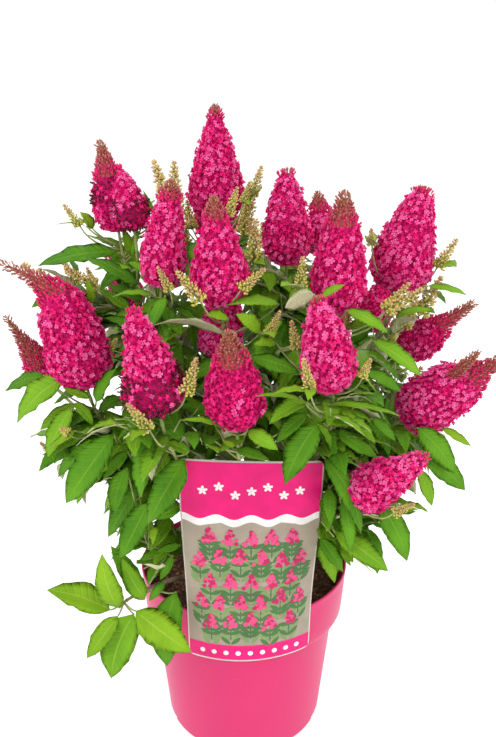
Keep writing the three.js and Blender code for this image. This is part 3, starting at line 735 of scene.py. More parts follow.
# The stump: rings that flare at the compost and close in at its top, with lobes that wind up it.
share = np.linspace(0, 1, 30)[:, None]
turn = full_turn(64)
flare = STUMP_TIP + (STUMP_RADIUS - STUMP_TIP) * (1 - share)
flare = flare + (STUMP_FLARE - STUMP_RADIUS) * np.exp(-share * 9)
crown = np.sqrt(np.clip((1.0 - share) / 0.16, 0, 1))
lobes = 1 + 0.07 * np.sin(7 * turn + 5 * share) + 0.05 * np.sin(13 * turn - 11 * share)
radius = flare * (0.3 + 0.7 * crown) * lobes * 0.97
stump = with_middles(turned(radius, turn, SOIL_Z - 0.5 + STUMP_HEIGHT * share + 0 * turn))
put("stump", stump, skin_faces(*radius.shape), [bark_finish], "bark", ["woody_foot"])

boughs, greens = [], []
for stem in stems:
    t = np.linspace(0, min(stem.bare + OVERLAP, 1), LIMB_ROWS)
    boughs.append(tube(stem, t, stem.radius(t) * 1.06, 0.09))
    t = np.linspace(stem.bare, 1, LIMB_ROWS)
    # Each pair of leaves stands on a swollen ring.
    from_pair = np.abs(((t - stem.bare) / (1 - stem.bare) * stem.pairs - FIRST_PAIR + 0.5) % 1 - 0.5)
    swell = 1 + 0.35 * np.exp(-((from_pair / 0.09) ** 2))
    greens.append(tube(stem, t, stem.radius(t) * swell, 0.03))
nodes = sorted(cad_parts)
bough_nodes = [n for n in nodes if n.startswith("bough_")]
limb_faces = skin_faces(LIMB_ROWS, LIMB_SIDES)
put("boughs", *joined(np.array(boughs), limb_faces), [bark_finish], "stem", bough_nodes)
put("green_stems", *joined(np.array(greens), limb_faces), [green_wood], "foliage")

# ---- The flower heads' places --------------------------------------------------------------------
# Each head is a cone of blossom on the end of its stem, rounded at its foot. Where it has opened only
# in part, the rest is a slim spike of buds. One head has a smaller one growing out of its side.

HEAD_LIFT = 7  # bare stalk under a head's lowest florets
HEAD_FOOT = 0.045  # how far its rounded foot hangs below its start, as a share of its length
NOWHERE = (1, 0)  # the shares between which a fresh head has withered
WIDEST = 0.2  # shares at which it is widest, at which a curl starts, and at which its tip turns blunt
CURL_START = 0.6
BLUNT = 0.92


def girth(share, taper, power):
    """Radius of a head as a share of its widest: a quarter circle, a quarter sine, then a power taper."""
    foot = 0.66 * np.sqrt(np.clip(1 - (share / HEAD_FOOT) ** 2, 0, 1))
    low = 0.66 + 0.34 * np.sin(np.clip(share / WIDEST, 0, 1) * np.pi / 2)
    high = np.maximum(1 - taper * (np.clip(share - WIDEST, 0, None) / (1 - WIDEST)) ** power, 0.2)
    blunt = np.sqrt(np.clip(1 - (np.clip(share - BLUNT, 0, None) / 0.09) ** 2, 0.05, 1))
    return np.where(share < 0, foot, np.where(share < WIDEST, low, high * blunt))


class Head:
    """One flower head: its foot, its way, its length, its widest radius and how far its tip nods."""

    def __init__(self, seed, stem, foot, lean, towards, more):
        self.seed, self.stem, self.towards = seed, stem, towards
        self.way = leaning(lean, towards)
        lift = more.get("lift", HEAD_LIFT)
        self.foot, self.long = foot + self.way * lift, more["long"] - lift
        self.radius, self.nod = more["radius"], more.get("nod", 0.05)
        self.open, self.faded = more["open"], more.get("faded", NOWHERE)
        self.curl, self.painted_shade = more.get("curl", 0), more.get("painted_shade", 0)
        self.slim, self.ease = more.get("slim", 0.37), more.get("ease", 0.45)
        self.taper, self.power = more.get("taper", 0.8), more.get("power", 1.5)

    def middle(self, share):
        """Points on the middle line, which bends by the square of the share and curls over at its tip."""
        share = np.asarray(share, float)[..., None]
        bend = polar(self.towards, self.nod, 0) * share**2
        curl = polar(self.towards, 1, -0.05) * self.curl * np.clip(share - CURL_START, 0, None) ** 2
        return self.foot + self.long * (self.way * share + bend + curl)

    def late(self, share):
        """How late the buds at shares of the length open: from 0 where it has opened to 1 at its tip."""
        return np.clip((share - self.open) / (1.001 - self.open), 0, 1)

    def outline(self, share):
        """Radius at shares of the length: full where it has opened, and easing into a slim spike above."""
        full = self.radius * girth(share, self.taper, self.power)
        slim = self.radius * self.slim * (1 - 0.51 * self.late(share))
        return full + (np.minimum(full, slim) - full) * smooth((share - self.open + 0.12) / self.ease)


# A smaller head beside another: that one's name, the share of it where this one starts, lean, towards.
LOBES = [
    ("right", 0.22, 37, -52, dict(long=62, radius=11, open=0.2, lift=0, slim=0.5)),
]
heads = []
for stem, row in zip(stems, STEMS):
    if "long" in stem.more:
        heads.append(Head(len(heads) + 1, stem, stem.handles[3], row[5], row[6], stem.more))
by_head = {head.stem.name: head for head in heads}
for name, azimuth, reach, height, lean, towards, more in SIDE_HEADS:
    heads.append(Head(len(heads) + 1, by_name[name], polar(azimuth, reach, height), lean, towards, more))
side_heads = heads[-len(SIDE_HEADS):]
for name, share, lean, towards, more in LOBES:
    heads.append(Head(len(heads) + 1, by_name[name], by_head[name].middle(share), lean, towards, more))

# ---- Leaves and twigs ----------------------------------------------------------------------------
# Lance-shaped toothed leaves in opposite pairs, each pair turned a quarter from the last: felted
# pale underneath, dull green and veined above, yellow-green while young. Twigs grow in their armpits.

LEAF_LONG = 66
TWIG_LONG = 46
TWIG_SHORT = 16
SUNK = 0.25  # how far a leaf or twig starts from its stem's middle line
LOWEST = 100  # no leaf hangs lower
TRIES = 10
MOST_LEAVES = 6000
LEAF_ROWS = 11
LEAF_COLUMNS = 5
CAMERA_AT = np.array([3.8, -578.0, 505.0])
CAMERA_DIP = 0.28  # radians below level
FRAME_WIDE = 496
FRAME_TALL = 737
FOCUS = 695  # in the steps in which the frame is measured
AHEAD = np.array([0, np.cos(CAMERA_DIP), -np.sin(CAMERA_DIP)])
ABOVE = np.array([0, np.sin(CAMERA_DIP), np.cos(CAMERA_DIP)])


def sighted(x, y, depth):
    """The point at a depth, its y, that is seen at a place in the camera's frame."""
    ray = AHEAD + np.array([1.0, 0, 0]) * (x - FRAME_WIDE / 2) / FOCUS - ABOVE * (y - FRAME_TALL / 2) / FOCUS
    return CAMERA_AT + ray * (depth - CAMERA_AT[1]) / ray[1]


def in_frame(points):
    """Where the camera's frame shows points, and how far ahead of the camera they are."""
    gap = points - CAMERA_AT
    ahead = gap @ AHEAD
    x = FRAME_WIDE / 2 + FOCUS * gap[..., 0] / ahead
    y = FRAME_TALL / 2 - FOCUS * (gap @ ABOVE) / ahead
    return np.stack([x, y, ahead], -1)


# Leaves that stand out by themselves: place in the frame and depth of foot and of tip, half width as a
# share of the length, kind (0 dark, 1 bright, 2 young), and how far the upper face turns to the front.
SHOWN_LEAVES = [
    (110, 610, -95, 47, 590, -90, 0.22, 2, 1.0), (119, 608, -98, 102, 554, -108, 0.17, 2, 0.8),
    (145, 599, -90, 122, 558, -84, 0.2, 1, 0.8), (140, 590, -84, 111, 546, -80, 0.17, 0, 0.6),
    (118, 616, -100, 87, 658, -112, 0.2, 2, 0.8), (134, 614, -100, 111, 678, -112, 0.26, 1, 0.9),
    (136, 611, -102, 191, 652, -118, 0.24, 2, 1.0), (176, 592, -90, 167, 666, -104, 0.2, 0, 0.8),
    (185, 459, -112, 147, 524, -122, 0.21, 0, 0.9), (114, 434, -100, 66, 503, -112, 0.19, 0, 0.8),
    (95, 440, -88, 58, 477, -92, 0.17, 0, 0.5), (72, 408, -80, 48, 457, -88, 0.2, 1, 0.8),
    (64, 378, -75, 17, 423, -85, 0.24, 1, 1.0), (44, 376, -58, 5, 391, -62, 0.26, 0, 1.0),
    (75, 403, -78, 93, 426, -84, 0.2, 1, 0.8), (128, 452, -92, 103, 480, -96, 0.2, 0, 0.8),
    (127, 468, -98, 115, 514, -104, 0.2, 0, 0.7), (148, 503, -98, 120, 558, -108, 0.2, 0, 0.7),
    (138, 488, -90, 108, 537, -92, 0.17, 0, 0.6), (128, 424, -100, 76, 446, -108, 0.09, 1, -0.5),
    (180, 545, -92, 156, 552, -98, 0.2, 0, 0.7), (173, 556, -92, 160, 580, -100, 0.2, 0, 0.7),
    (165, 582, -94, 149, 601, -102, 0.2, 0, 0.7), (118, 252, -30, 38, 266, -36, 0.17, 0, 0.55),
    (138, 285, -50, 84, 258, -46, 0.18, 0, 0.5), (154, 296, -70, 112, 297, -66, 0.14, 1, 0.4),
    (318, 424, -128, 285, 484, -140, 0.23, 0, 0.7), (318, 424, -128, 331, 452, -120, 0.18, 1, 0.5),
    (248, 430, -136, 278, 450, -146, 0.24, 1, 0.8), (307, 402, -128, 269, 424, -138, 0.19, 1, 0.7),
    (307, 414, -122, 277, 443, -130, 0.2, 0, 0.7), (251, 357, -118, 300, 373, -122, 0.25, 0, 0.3),
    (279, 304, -92, 226, 305, -100, 0.16, 1, 0.7), (314, 294, -104, 285, 308, -110, 0.34, 1, -1.2),
    (228, 318, -104, 206, 315, -110, 0.34, 2, 1.0), (260, 333, -100, 236, 314, -104, 0.26, 2, 0.9),
    (276, 343, -108, 254, 345, -112, 0.34, 2, 1.0), (224, 335, -100, 154, 325, -112, 0.12, 1, -0.8),
    (225, 428, -140, 181, 420, -146, 0.13, 1, 0.3), (236, 449, -118, 270, 461, -124, 0.2, 0, 0.8),
    (321, 298, -112, 345, 285, -116, 0.2, 2, 0.7), (347, 310, -90, 388, 333, -96, 0.2, 1, 0.7),
    (396, 318, -60, 432, 310, -64, 0.15, 1, 0.4), (428, 286, -30, 467, 295, -36, 0.14, 1, 0.6),
    (372, 340, -85, 421, 376, -92, 0.16, 1, 0.6), (442, 428, -78, 471, 446, -86, 0.16, 2, 0.7),
    (418, 428, -88, 455, 473, -98, 0.22, 0, 1.0), (425, 460, -92, 465, 490, -100, 0.24, 0, 1.0),
    (420, 470, -96, 432, 506, -104, 0.2, 1, 0.7), (380, 505, -120, 407, 561, -132, 0.2, 0, 0.9),
    (335, 532, -108, 388, 571, -120, 0.19, 1, 0.9), (325, 458, -112, 361, 533, -122, 0.13, 0, 0.8),
    (343, 498, -112, 350, 552, -122, 0.14, 0, 0.7), (328, 404, -125, 400, 416, -130, 0.1, 1, 0.3),
    (372, 418, -100, 396, 441, -106, 0.22, 0, 0.7), (336, 430, -105, 378, 458, -110, 0.2, 0, 0.7),
    (320, 538, -104, 343, 572, -112, 0.2, 0, 0.8), (366, 372, -95, 401, 392, -100, 0.2, 0, 0.7),
    (76, 405, -74, 40, 430, -78, 0.19, 1, 0.6), (354, 552, -106, 376, 571, -112, 0.13, 0, 0.6),
    (130, 268, -46, 94, 270, -40, 0.16, 2, 0.6), (130, 254, -20, 122, 228, -24, 0.2, 2, 0.8),
    (131, 256, -20, 141, 230, -26, 0.18, 1, 0.8), (140, 262, -14, 104, 249, -10, 0.2, 1, 0.8),
    (142, 300, -30, 108, 285, -24, 0.22, 0, 0.8), (146, 312, -36, 112, 318, -30, 0.2, 1, 0.8),
    (136, 246, 0, 128, 282, -4, 0.22, 0, 0.8), (118, 246, 10, 134, 300, 6, 0.24, 0, 0.8),
    (75, 431, -92, 47, 449, -98, 0.2, 2, 0.8), (154, 276, -40, 128, 262, -36, 0.2, 1, 0.8),
    (130, 310, -30, 100, 290, -24, 0.22, 1, 0.8), (92, 303, -50, 87, 279, -54, 0.17, 2, 0.8),
    (182, 506, -92, 152, 519, -98, 0.22, 0, 0.7), (86, 226, -30, 55, 225, -32, 0.06, 1, 0.3),
    (124, 272, 0, 100, 292, -4, 0.26, 0, 0.8), (135, 330, -50, 104, 318, -46, 0.2, 0, 0.8),
    (306, 404, -132, 256, 396, -150, 0.09, 1, 0.6), (189, 451, -118, 164, 441, -122, 0.28, 1, 0.8),
    (96, 402, -86, 117, 368, -82, 0.24, 0, 0.8), (90, 398, -86, 63, 388, -88, 0.2, 1, 0.8),
    (114, 247, -20, 86, 235, -24, 0.13, 1, 0.8), (196, 320, -60, 172, 306, -60, 0.2, 0, 0.8),
    (200, 405, -100, 182, 398, -104, 0.25, 2, 0.8), (348, 330, -60, 372, 318, -64, 0.2, 1, 0.8),
    (210, 320, -46, 176, 302, -40, 0.26, 0, 1.0), (200, 350, -56, 190, 318, -50, 0.3, 0, 1.0),
    (210, 416, -86, 180, 406, -80, 0.26, 0, 1.0), (286, 468, -70, 262, 446, -66, 0.26, 0, 1.0),
    (120, 398, -70, 98, 412, -66, 0.26, 0, 1.0), (372, 322, 10, 350, 345, 14, 0.26, 0, 1.0),
    (93, 229, -24, 80, 212, -26, 0.3, 2, 0.8), (126, 250, -14, 97, 238, -18, 0.14, 1, 0.8),
    (143, 264, -20, 150, 234, -24, 0.16, 0, 0.8), (157, 220, -20, 143, 190, -24, 0.08, 1, 0.8),
]
# Young spikes that stand out by themselves: place in the frame and depth of foot and of tip.
SHOWN_SPIKES = [
    (80, 226, -30, 63, 204, -32), (168, 203, -44, 153, 159, -44), (176, 203, -42, 174, 160, -42),
    (252, 196, -20, 262, 165, -20), (228, 216, -74, 238, 186, -74), (243, 203, -30, 250, 181, -30),
    (201, 302, -114, 176, 270, -114), (170, 291, -98, 157, 266, -98), (95, 286, -45, 64, 267, -48),
    (108, 352, -66, 117, 338, -68), (186, 394, -140, 197, 357, -142), (268, 335, -105, 281, 310, -106),
    (297, 349, -112, 291, 320, -112), (310, 390, -152, 303, 357, -152), (362, 378, -130, 371, 358, -130),
    (388, 309, -75, 424, 288, -78), (385, 312, -72, 410, 282, -74), (394, 513, -140, 415, 504, -146),
    (437, 268, -20, 458, 238, -20), (372, 246, -30, 371, 228, -30), (150, 431, -160, 126, 403, -160),
    (68, 433, -95, 60, 428, -96), (300, 290, -95, 303, 256, -96), (254, 262, -60, 256, 218, -60),
    (241, 290, -104, 266, 268, -106),
]
# Places in the frame, with a radius, where the crown is open and the light shows through.
OPEN_SKY = [
    (88, 538, 20), (72, 560, 18), (56, 520, 26), (92, 512, 9), (120, 298, 5), (102, 333, 6), (90, 404, 7),
    (203, 331, 4), (440, 545, 34), (420, 590, 30), (482, 460, 14), (60, 310, 5), (270, 381, 5),
    (60, 640, 16), (140, 675, 12), (75, 700, 20), (47, 482, 13), (372, 588, 14), (395, 585, 12),
    (330, 594, 12), (84, 512, 8), (28, 450, 12), (424, 488, 8), (410, 521, 8), (394, 552, 8),
    (345, 582, 9), (194, 412, 7),
    (97, 500, 10), (133, 597, 7), (141, 550, 6), (96, 566, 10), (164, 622, 7), (108, 592, 6), (376, 268, 6),
    (262, 200, 7), (150, 188, 6), (375, 530, 8), (389, 545, 5), (356, 573, 7), (408, 497, 6), (97, 490, 7),
]


def straight_pieces(lines):
    """The starts and ends of all straight pieces of several lines, and which line each belongs to."""
    starts = np.vstack([line[:-1] for line in lines])
    ends = np.vstack([line[1:] for line in lines])
    return starts, ends, np.concatenate([np.full(len(line) - 1, i) for i, line in enumerate(lines)])


def distances(points, starts, ends):
    """Distance of each point from each straight piece."""
    piece = ends - starts
    gap = points[:, None] - starts
    share = np.clip((gap * piece).sum(-1) / (piece**2).sum(-1), 0, 1)
    return np.linalg.norm(gap - share[..., None] * piece, axis=-1)


SPANS = 24  # straight pieces that stand for a stem
lines, owners, bough_lines = [], [], []
for stem in stems:
    samples = curve(stem.handles, np.linspace(0, 1, SPANS + 1))
    leafy = int(SPANS * stem.bare + 0.5)
    bough_lines.append(samples[:leafy + 1])
    lines.append(samples[leafy:])
    owners.append(stem.key - 1)
for head in side_heads:
    lines.append(np.array([curve(head.stem.handles, SIDE_AT), head.foot]))
    owners.append(head.stem.key - 1)
spine_starts, spine_ends, spine_line = straight_pieces(lines)
spine_owner = np.array(owners)[spine_line]
bough_starts, bough_ends, _ = straight_pieces(bough_lines)
steps = np.linspace(0, 1, 13)
round_places = np.vstack([head.middle(steps) for head in heads])
round_sizes = np.concatenate([head.outline(steps) for head in heads])
sights = in_frame(round_places)
widths = round_sizes * FOCUS / sights[:, 2]
open_sky = np.array(OPEN_SKY, float)
# The placed leaves are kept in sight by circles along each: shares of its length, and of its half width.
KEPT_AT = (0.2, 0.45, 0.7, 0.9)
KEPT_WIDE = (0.6, 0.9, 0.7, 0.3)
shown = [(sighted(*row[:3]), sighted(*row[3:6]), row[6]) for row in SHOWN_LEAVES]
kept_places = np.array([foot + (tip - foot) * share for foot, tip, _ in shown for share in KEPT_AT])
kept_sizes = np.array([np.linalg.norm(tip - foot) * wide for foot, tip, wide in shown])
kept_sizes = (kept_sizes[:, None] * KEPT_WIDE).ravel()
kept_sights = in_frame(kept_places)
kept_widths = kept_sizes * FOCUS / kept_sights[:, 2] + 2

CLEAR = 3  # between a leaf and the pot or the card
NEAR = 1.5  # between a leaf and a head or a bough
HEAD_SHOWN = 0.85  # the share of a head's half width that leaves before it keep clear
SIGHT_RISE = 0.42  # how the plane over the card's head rises towards the camera, from CARD_Y on
CARD_Y = -97  # where the card stands


def hides(places, sights, widths, ahead):
    """True if a place in the frame lies in one of the circles and is nearer than it by more than so much."""
    apart = np.linalg.norm(places[:, None, :2] - sights[:, :2], axis=-1)
    return ((apart < widths) & (places[:, None, 2] < sights[:, 2] - ahead)).any()


def has_room(points, own, space):
    """True if points are clear of pot, card, boughs and heads, hide nothing and keep to their own stem."""
    x, y, z = points.T
    if z.min() < LOWEST or ((z < POT_HEIGHT + CLEAR) & (np.hypot(x, y) < POT_RIM + CLEAR)).any():
        return False
    # The card is kept in sight: nothing hangs before it below a plane that rises forwards from its head.
    before = (np.abs(x) < CARD_HEAD / 2 + CLEAR) & (y < -80) & (z > CARD_BOTTOM - 10)
    if (before & (z < CARD_BOTTOM + CARD_TALL + 2 - SIGHT_RISE * (y - CARD_Y))).any():
        return False
    if (np.linalg.norm(points[:, None] - round_places, axis=-1) < round_sizes + NEAR).any():
        return False
    places = in_frame(points)
    if hides(places, sights, HEAD_SHOWN * widths, 5) or hides(places, kept_sights, kept_widths, 2):
        return False
    if (np.linalg.norm(places[:, None, :2] - open_sky[:, :2], axis=-1) < open_sky[:, 2]).any():
        return False
    if distances(points, bough_starts, bough_ends).min() < BOUGH_BASE + NEAR:
        return False
    gaps = distances(points, spine_starts, spine_ends)
    return bool((gaps[:, spine_owner != own].min(1) > gaps[:, spine_owner == own].min(1) - space).all())


# Each leaf is a row: root, direction, length, seed, kind, the way its upper face looks, half width, and
# how much it may roll. Twigs are rows of start, bend, end and radii; spikes of foot, way and length.
leaves, twigs, spikes = [], [], []
middles = np.zeros((MOST_LEAVES, 3))
# Where a leaf is tested for room, as shares of its length: along it and aside. The third is its middle.
LEAF_MIDDLE = 0.42
TEST_ALONG = np.array([0.2, LEAF_MIDDLE, LEAF_MIDDLE, LEAF_MIDDLE, 0.7, 0.7, 0.85, 1.0])
TEST_ASIDE = np.array([0.0, -0.19, 0.0, 0.19, -0.13, 0.13, 0.0, 0.0])
TEST_RISE = 0.4 * TEST_ALONG * (1 - TEST_ALONG)


def grow_leaf(root, out, along, droop, long, seed, own, kind, space, crowd=9.0):
    """Adds a leaf where it finds room: further towards the light, lower and shorter with each try.

    space is how much nearer than its own stem another one may be, and crowd the least gap between leaves.
    """
    light = unit(np.array([root[0], root[1], 0.0]) + 1e-9)
    for k in range(TRIES):
        angle = (hashed(seed, k) - 0.5) * 1.6 if k else 0.0
        fanned = out * np.cos(angle) + np.cross(along, out) * np.sin(angle)
        way = fanned * 0.86 + light * 0.16 * k + along * 0.42 * (1 - 0.25 * (k % 3))
        way = unit(way - UP * droop * (0.7 + 0.2 * (k % 4)))
        size = long * (1 - 0.05 * k)
        side = unit(np.cross(way, UP) + 1e-9)
        normal = np.cross(side, way)
        aside = TEST_ASIDE[:, None] * side
        points = root + size * (TEST_ALONG[:, None] * way + aside + TEST_RISE[:, None] * normal)
        count = len(leaves)
        if count and np.linalg.norm(middles[:count] - points[2], axis=1).min() < crowd:
            continue
        if has_room(points, own, space):
            middles[count] = points[2]
            leaves.append((*root, *way, size, seed, kind, *UP, 0.185 + 0.035 * hashed(seed, 16), 1))
            return


def grow_twig(root, out, along, share, size, seed, own):
    """Adds a twig from a leaf's armpit with pairs of smaller leaves and, high up, a young flower spike."""
    way = unit(out * 0.8 + along * 0.8 + UP * 0.2)
    armpit = root + along * 3 + out * SUNK
    reach = TWIG_LONG * (0.75 + 0.5 * hashed(seed, 6))
    steps = np.array([0.3, 0.5, 0.7, 0.85, 1.0])[:, None]
    while not has_room(armpit + way * reach * steps, own, 0.0):
        reach *= 0.8
        if reach < TWIG_SHORT:
            return
    end = armpit + way * reach
    twigs.append((*armpit, *(armpit + end) / 2, *end, 1.0, 0.55))
    p, q = across(way)
    pairs = 3 if reach > 34 else 2
    for m in range(pairs):
        for side in (0, 1):
            angle = (side + 0.5 * m + hashed(seed, 8)) * np.pi
            away = p * np.cos(angle) + q * np.sin(angle)
            joint = armpit + (end - armpit) * (m + 1) / pairs * 0.97 + away * SUNK
            last = share > 0.7 and m == pairs - 1
            kind = 2 if last and hashed(seed, 4) > 0.4 else int(hashed(seed, m, 3) > 0.55)
            long = size * (0.92 - 0.07 * m) * (0.75 if last else 1)
            grow_leaf(joint, away, way, 0.75, long, seed + 0.3 + side * 0.1 + m, own, kind, 4.0)
    if share > 0.6 and (end[1] > -40 or hashed(seed, 10) > 0.6):
        tip = unit(way * 0.5 + UP * 0.7)
        long = 22 + 16 * hashed(seed, 9)
        if has_room(end + tip * long * np.array([[0.5], [1.0]]), own, 6.0):
            spikes.append((*end, *tip, long, seed))


STEM_STEPS = 60
stem_points = np.vstack([curve(stem.handles, np.linspace(stem.bare * 0.7, 1, STEM_STEPS)) for stem in stems])


def carry(foot, way, firm):
    """Adds the twig that carries something, from the nearest place lower on a stem, bent to end its way.

    Gives back the number of that stem.
    """
    aside = np.linalg.norm(stem_points[:, :2] - foot[:2], axis=1)
    gap = aside + np.abs(stem_points[:, 2] - foot[2]) * 0.6
    gap += 1.5 * np.clip(stem_points[:, 2] - foot[2] + 0.6 * aside, 0, None)
    nearest = stem_points[gap.argmin()]
    span = np.linalg.norm(nearest - foot)
    if span > 2:
        straight = (nearest + foot) / 2
        bend = straight + (foot - unit(way + UP * 0.5) * span * 0.45 - straight) * firm
        twigs.append((*nearest, *bend, *foot, 0.85, 0.6))
    return int(gap.argmin()) // STEM_STEPS


# The placed leaves and spikes come first. Leaves that follow each other from one place share a twig.
LEAF_SEED = 7000
SPIKE_SEED = 8000
SPIKE_LEAF_SEED = 8100
for k, ((foot, tip, wide), (x, y, *_, kind, face)) in enumerate(zip(shown, SHOWN_LEAVES)):
    size = np.linalg.norm(tip - foot)
    facing = unit(UP + face * np.array([0, -1.0, 0.3]))
    middles[len(leaves)] = foot + LEAF_MIDDLE * (tip - foot)
    leaves.append((*foot, *unit(tip - foot), size, LEAF_SEED + k, kind, *facing, wide, 0.25))
    if k == 0 or SHOWN_LEAVES[k - 1][:2] != (x, y):
        carry(foot, UP, 0.35)
for k, row in enumerate(SHOWN_SPIKES):
    foot, tip = sighted(*row[:3]), sighted(*row[3:])
    way = unit(tip - foot)
    spikes.append((*foot, *way, np.linalg.norm(tip - foot), SPIKE_SEED + k))
    own = carry(foot, way, 1.0)
    p, _ = across(way)
    for side in (-1, 1):
        long, seed = 22 + 8 * hashed(k, side), SPIKE_LEAF_SEED + k + side / 4
        grow_leaf(foot, p * side, way, 0.3, long, seed, own, 2, 20.0, 5.0)

# Then the pairs up each stem, with one more between every two. One shoot has placed leaves only.
for stem in stems:
    own = stem.key - 1
    if stem.name == "shoot_low_left":
        continue
    for m in range(2 * stem.pairs):
        k = m / 2
        share = (k + FIRST_PAIR) / stem.pairs
        if share > 0.99:
            continue
        t = stem.bare + (1 - stem.bare) * share
        root = curve(stem.handles, t)
        along = tangent(stem.handles, t)
        u, v = across(along)
        for hand in (0, 1):
            seed = stem.key * 100 + k * 10 + hand
            angle = (hand + k * 0.5 + 0.25 + 0.16 * (hashed(seed, 1) - 0.5)) * np.pi
            out = u * np.cos(angle) + v * np.sin(angle)
            droop = 0.75 + 0.6 * hashed(seed, 3) - 0.4 * share
            size = LEAF_LONG * (1 - 0.15 * share)
            kind = 2 if share > 0.9 else int(hashed(seed, 5) > 0.6)
            long = size * (0.85 + 0.3 * hashed(seed, 2)) * (0.7 if kind == 2 else 1)
            grow_leaf(root + out * SUNK, out, along, droop, long, seed, own, kind, 3.0 * (m % 2) - 1)
            grow_twig(root, out, along, share, size * 0.9, seed, own)

# A leaf's blade on a grid of u (root to tip) and v (side to side), for all leaves at once: a lance whose
# half width is a product of powers, arched, twisted along its rib, cupped, and rippled at its edges.
table = np.array(leaves)
root, way, size, seed, kind = table[:, :3], table[:, 3:6], table[:, 6], table[:, 7], table[:, 8].astype(int)
facing, wide, loose = table[:, 9:12], table[:, 12], table[:, 13]
u = np.linspace(0, 1, LEAF_ROWS)
v = np.linspace(-1, 1, LEAF_COLUMNS)
lance = u**0.66 * (1 - u) ** 0.95
lance = lance / lance.max() + 0.02
teeth = 1 + 0.03 * (-1.0) ** np.arange(LEAF_ROWS)
side = unit(np.cross(way, facing))
normal = unit(np.cross(side, way))
arch = 0.05 + 0.07 * hashed(seed, 11)
roll = 0.8 * (hashed(seed, 12) - 0.5) * loose
twist = 0.8 * (hashed(seed, 13) - 0.5)
cup = 0.1 + 0.45 * (hashed(seed, 14) - 0.35)
bow = 0.12 * (hashed(seed, 15) - 0.5)
angle = roll[:, None] + twist[:, None] * u
c, s = np.cos(angle)[..., None], np.sin(angle)[..., None]
lean_side = side[:, None] * c + normal[:, None] * s
lean_normal = normal[:, None] * c - side[:, None] * s
rib = root[:, None] + size[:, None, None] * (
    way[:, None] * u[:, None]
    + normal[:, None] * (arch[:, None] * 4 * u * (1 - u))[..., None]
    + side[:, None] * (bow[:, None] * 4 * u * (1 - u))[..., None]
)
half = (size * wide)[:, None] * lance
spread = np.where(np.abs(v) > 0.9, (half * teeth)[..., None], half[..., None]) * v
ripple = 0.12 * np.sin(2 * np.pi * (3 * u + hashed(seed, 17)[:, None]))
lift = half[..., None] * (cup[:, None, None] * np.abs(v) ** 1.4 + ripple[..., None] * v**2)
upper = rib[:, :, None] + spread[..., None] * lean_side[:, :, None]
upper = upper + lift[..., None] * lean_normal[:, :, None]
thin = 0.004 * size[:, None, None] * (1 - v[1:-1] ** 2) + 0.12
lower = upper[:, :, 1:-1] - thin[..., None] * lean_normal[:, :, None]
blade = np.concatenate([upper.reshape(len(table), -1, 3), lower.reshape(len(table), -1, 3)], 1)


def sheet_faces(grid):
    """Triangles of a grid of corner numbers."""
    a, b, c, d = grid[:-1, :-1], grid[:-1, 1:], grid[1:, 1:], grid[1:, :-1]
    return np.stack([a, b, c, a, c, d], -1).reshape(-1, 3)


# The lower face shares the edge's corners with the upper one, and a strip closes it at foot and tip.
top = np.arange(LEAF_ROWS * LEAF_COLUMNS).reshape(LEAF_ROWS, LEAF_COLUMNS)
under = top.copy()
under[:, 1:-1] = LEAF_ROWS * LEAF_COLUMNS + np.arange(LEAF_ROWS * (LEAF_COLUMNS - 2)).reshape(LEAF_ROWS, -1)
foot_strip = sheet_faces(np.stack([under[0], top[0]]))
tip_strip = sheet_faces(np.stack([top[-1], under[-1]]))
leaf_faces = np.vstack([sheet_faces(top), sheet_faces(under)[:, ::-1], foot_strip, tip_strip])
whole = (leaf_faces != np.roll(leaf_faces, 1, 1)).all(1)
leaf_under = (np.arange(len(leaf_faces)) >= top[1:, 1:].size * 2)[whole]
leaf_faces = leaf_faces[whole]
places = np.stack(np.meshgrid(u, (v + 1) / 2, indexing="ij"), -1)
leaf_uv = np.concatenate([places.reshape(-1, 2), places[:, 1:-1].reshape(-1, 2)])

# Veins: a pale midrib and side veins that run forward from it, sunk in the upper face.
veins, entry, leaving = new_group(
    "Veins",
    [("Blade", COLOUR), ("Vein", COLOUR), ("Pairs", NUMBER)],
    [("Colour", COLOUR), ("Height", NUMBER)],
)
uv_node = veins.nodes.new("ShaderNodeUVMap")
uv_node.uv_map = "UVMap"
split = veins.nodes.new("ShaderNodeSeparateXYZ")
feed(veins, split.inputs[0], uv_node.outputs[0])
from_rib = math_node(veins, "ABSOLUTE", math_node(veins, "MULTIPLY_ADD", split.outputs[1], 2.0, -1.0))
forward = math_node(veins, "SUBTRACT", split.outputs[0], math_node(veins, "MULTIPLY", from_rib, 0.13))
phase = math_node(veins, "MULTIPLY", math_node(veins, "MULTIPLY", forward, entry.outputs["Pairs"]), 2 * np.pi)
crest = math_node(veins, "MULTIPLY_ADD", math_node(veins, "COSINE", phase), 0.5, 0.5)
side_vein = math_node(veins, "POWER", crest, 7.0)
rib_line = math_node(veins, "MAXIMUM", math_node(veins, "MULTIPLY_ADD", from_rib, -8.0, 0.75), 0.0)
share = math_node(veins, "MAXIMUM", rib_line, math_node(veins, "MULTIPLY", side_vein, 0.22))
drawn = mixed_colour(veins, share, entry.outputs["Blade"], entry.outputs["Vein"])
feed(veins, leaving.inputs["Colour"], drawn)
sunk = math_node(veins, "MULTIPLY", math_node(veins, "MAXIMUM", rib_line, side_vein), -1.0)
feed(veins, leaving.inputs["Height"], sunk)


def leaf_finish(name, light, dark, vein, roughness, pairs):
    """A leaf's face: two greens in soft patches, with the veins drawn over them."""
    finish, tree, shader = new_finish(name, light, roughness, Specular_IOR_Level=0.1)
    look = placed(tree, uneven, light, dark, 34, 1500)
    pattern = placed(tree, veins, look.outputs["Colour"], vein, pairs)
    feed(tree, shader.inputs["Base Color"], pattern.outputs["Colour"])
    bumped(tree, shader, pattern.outputs["Height"], 0.6, 0.0006)
    return finish


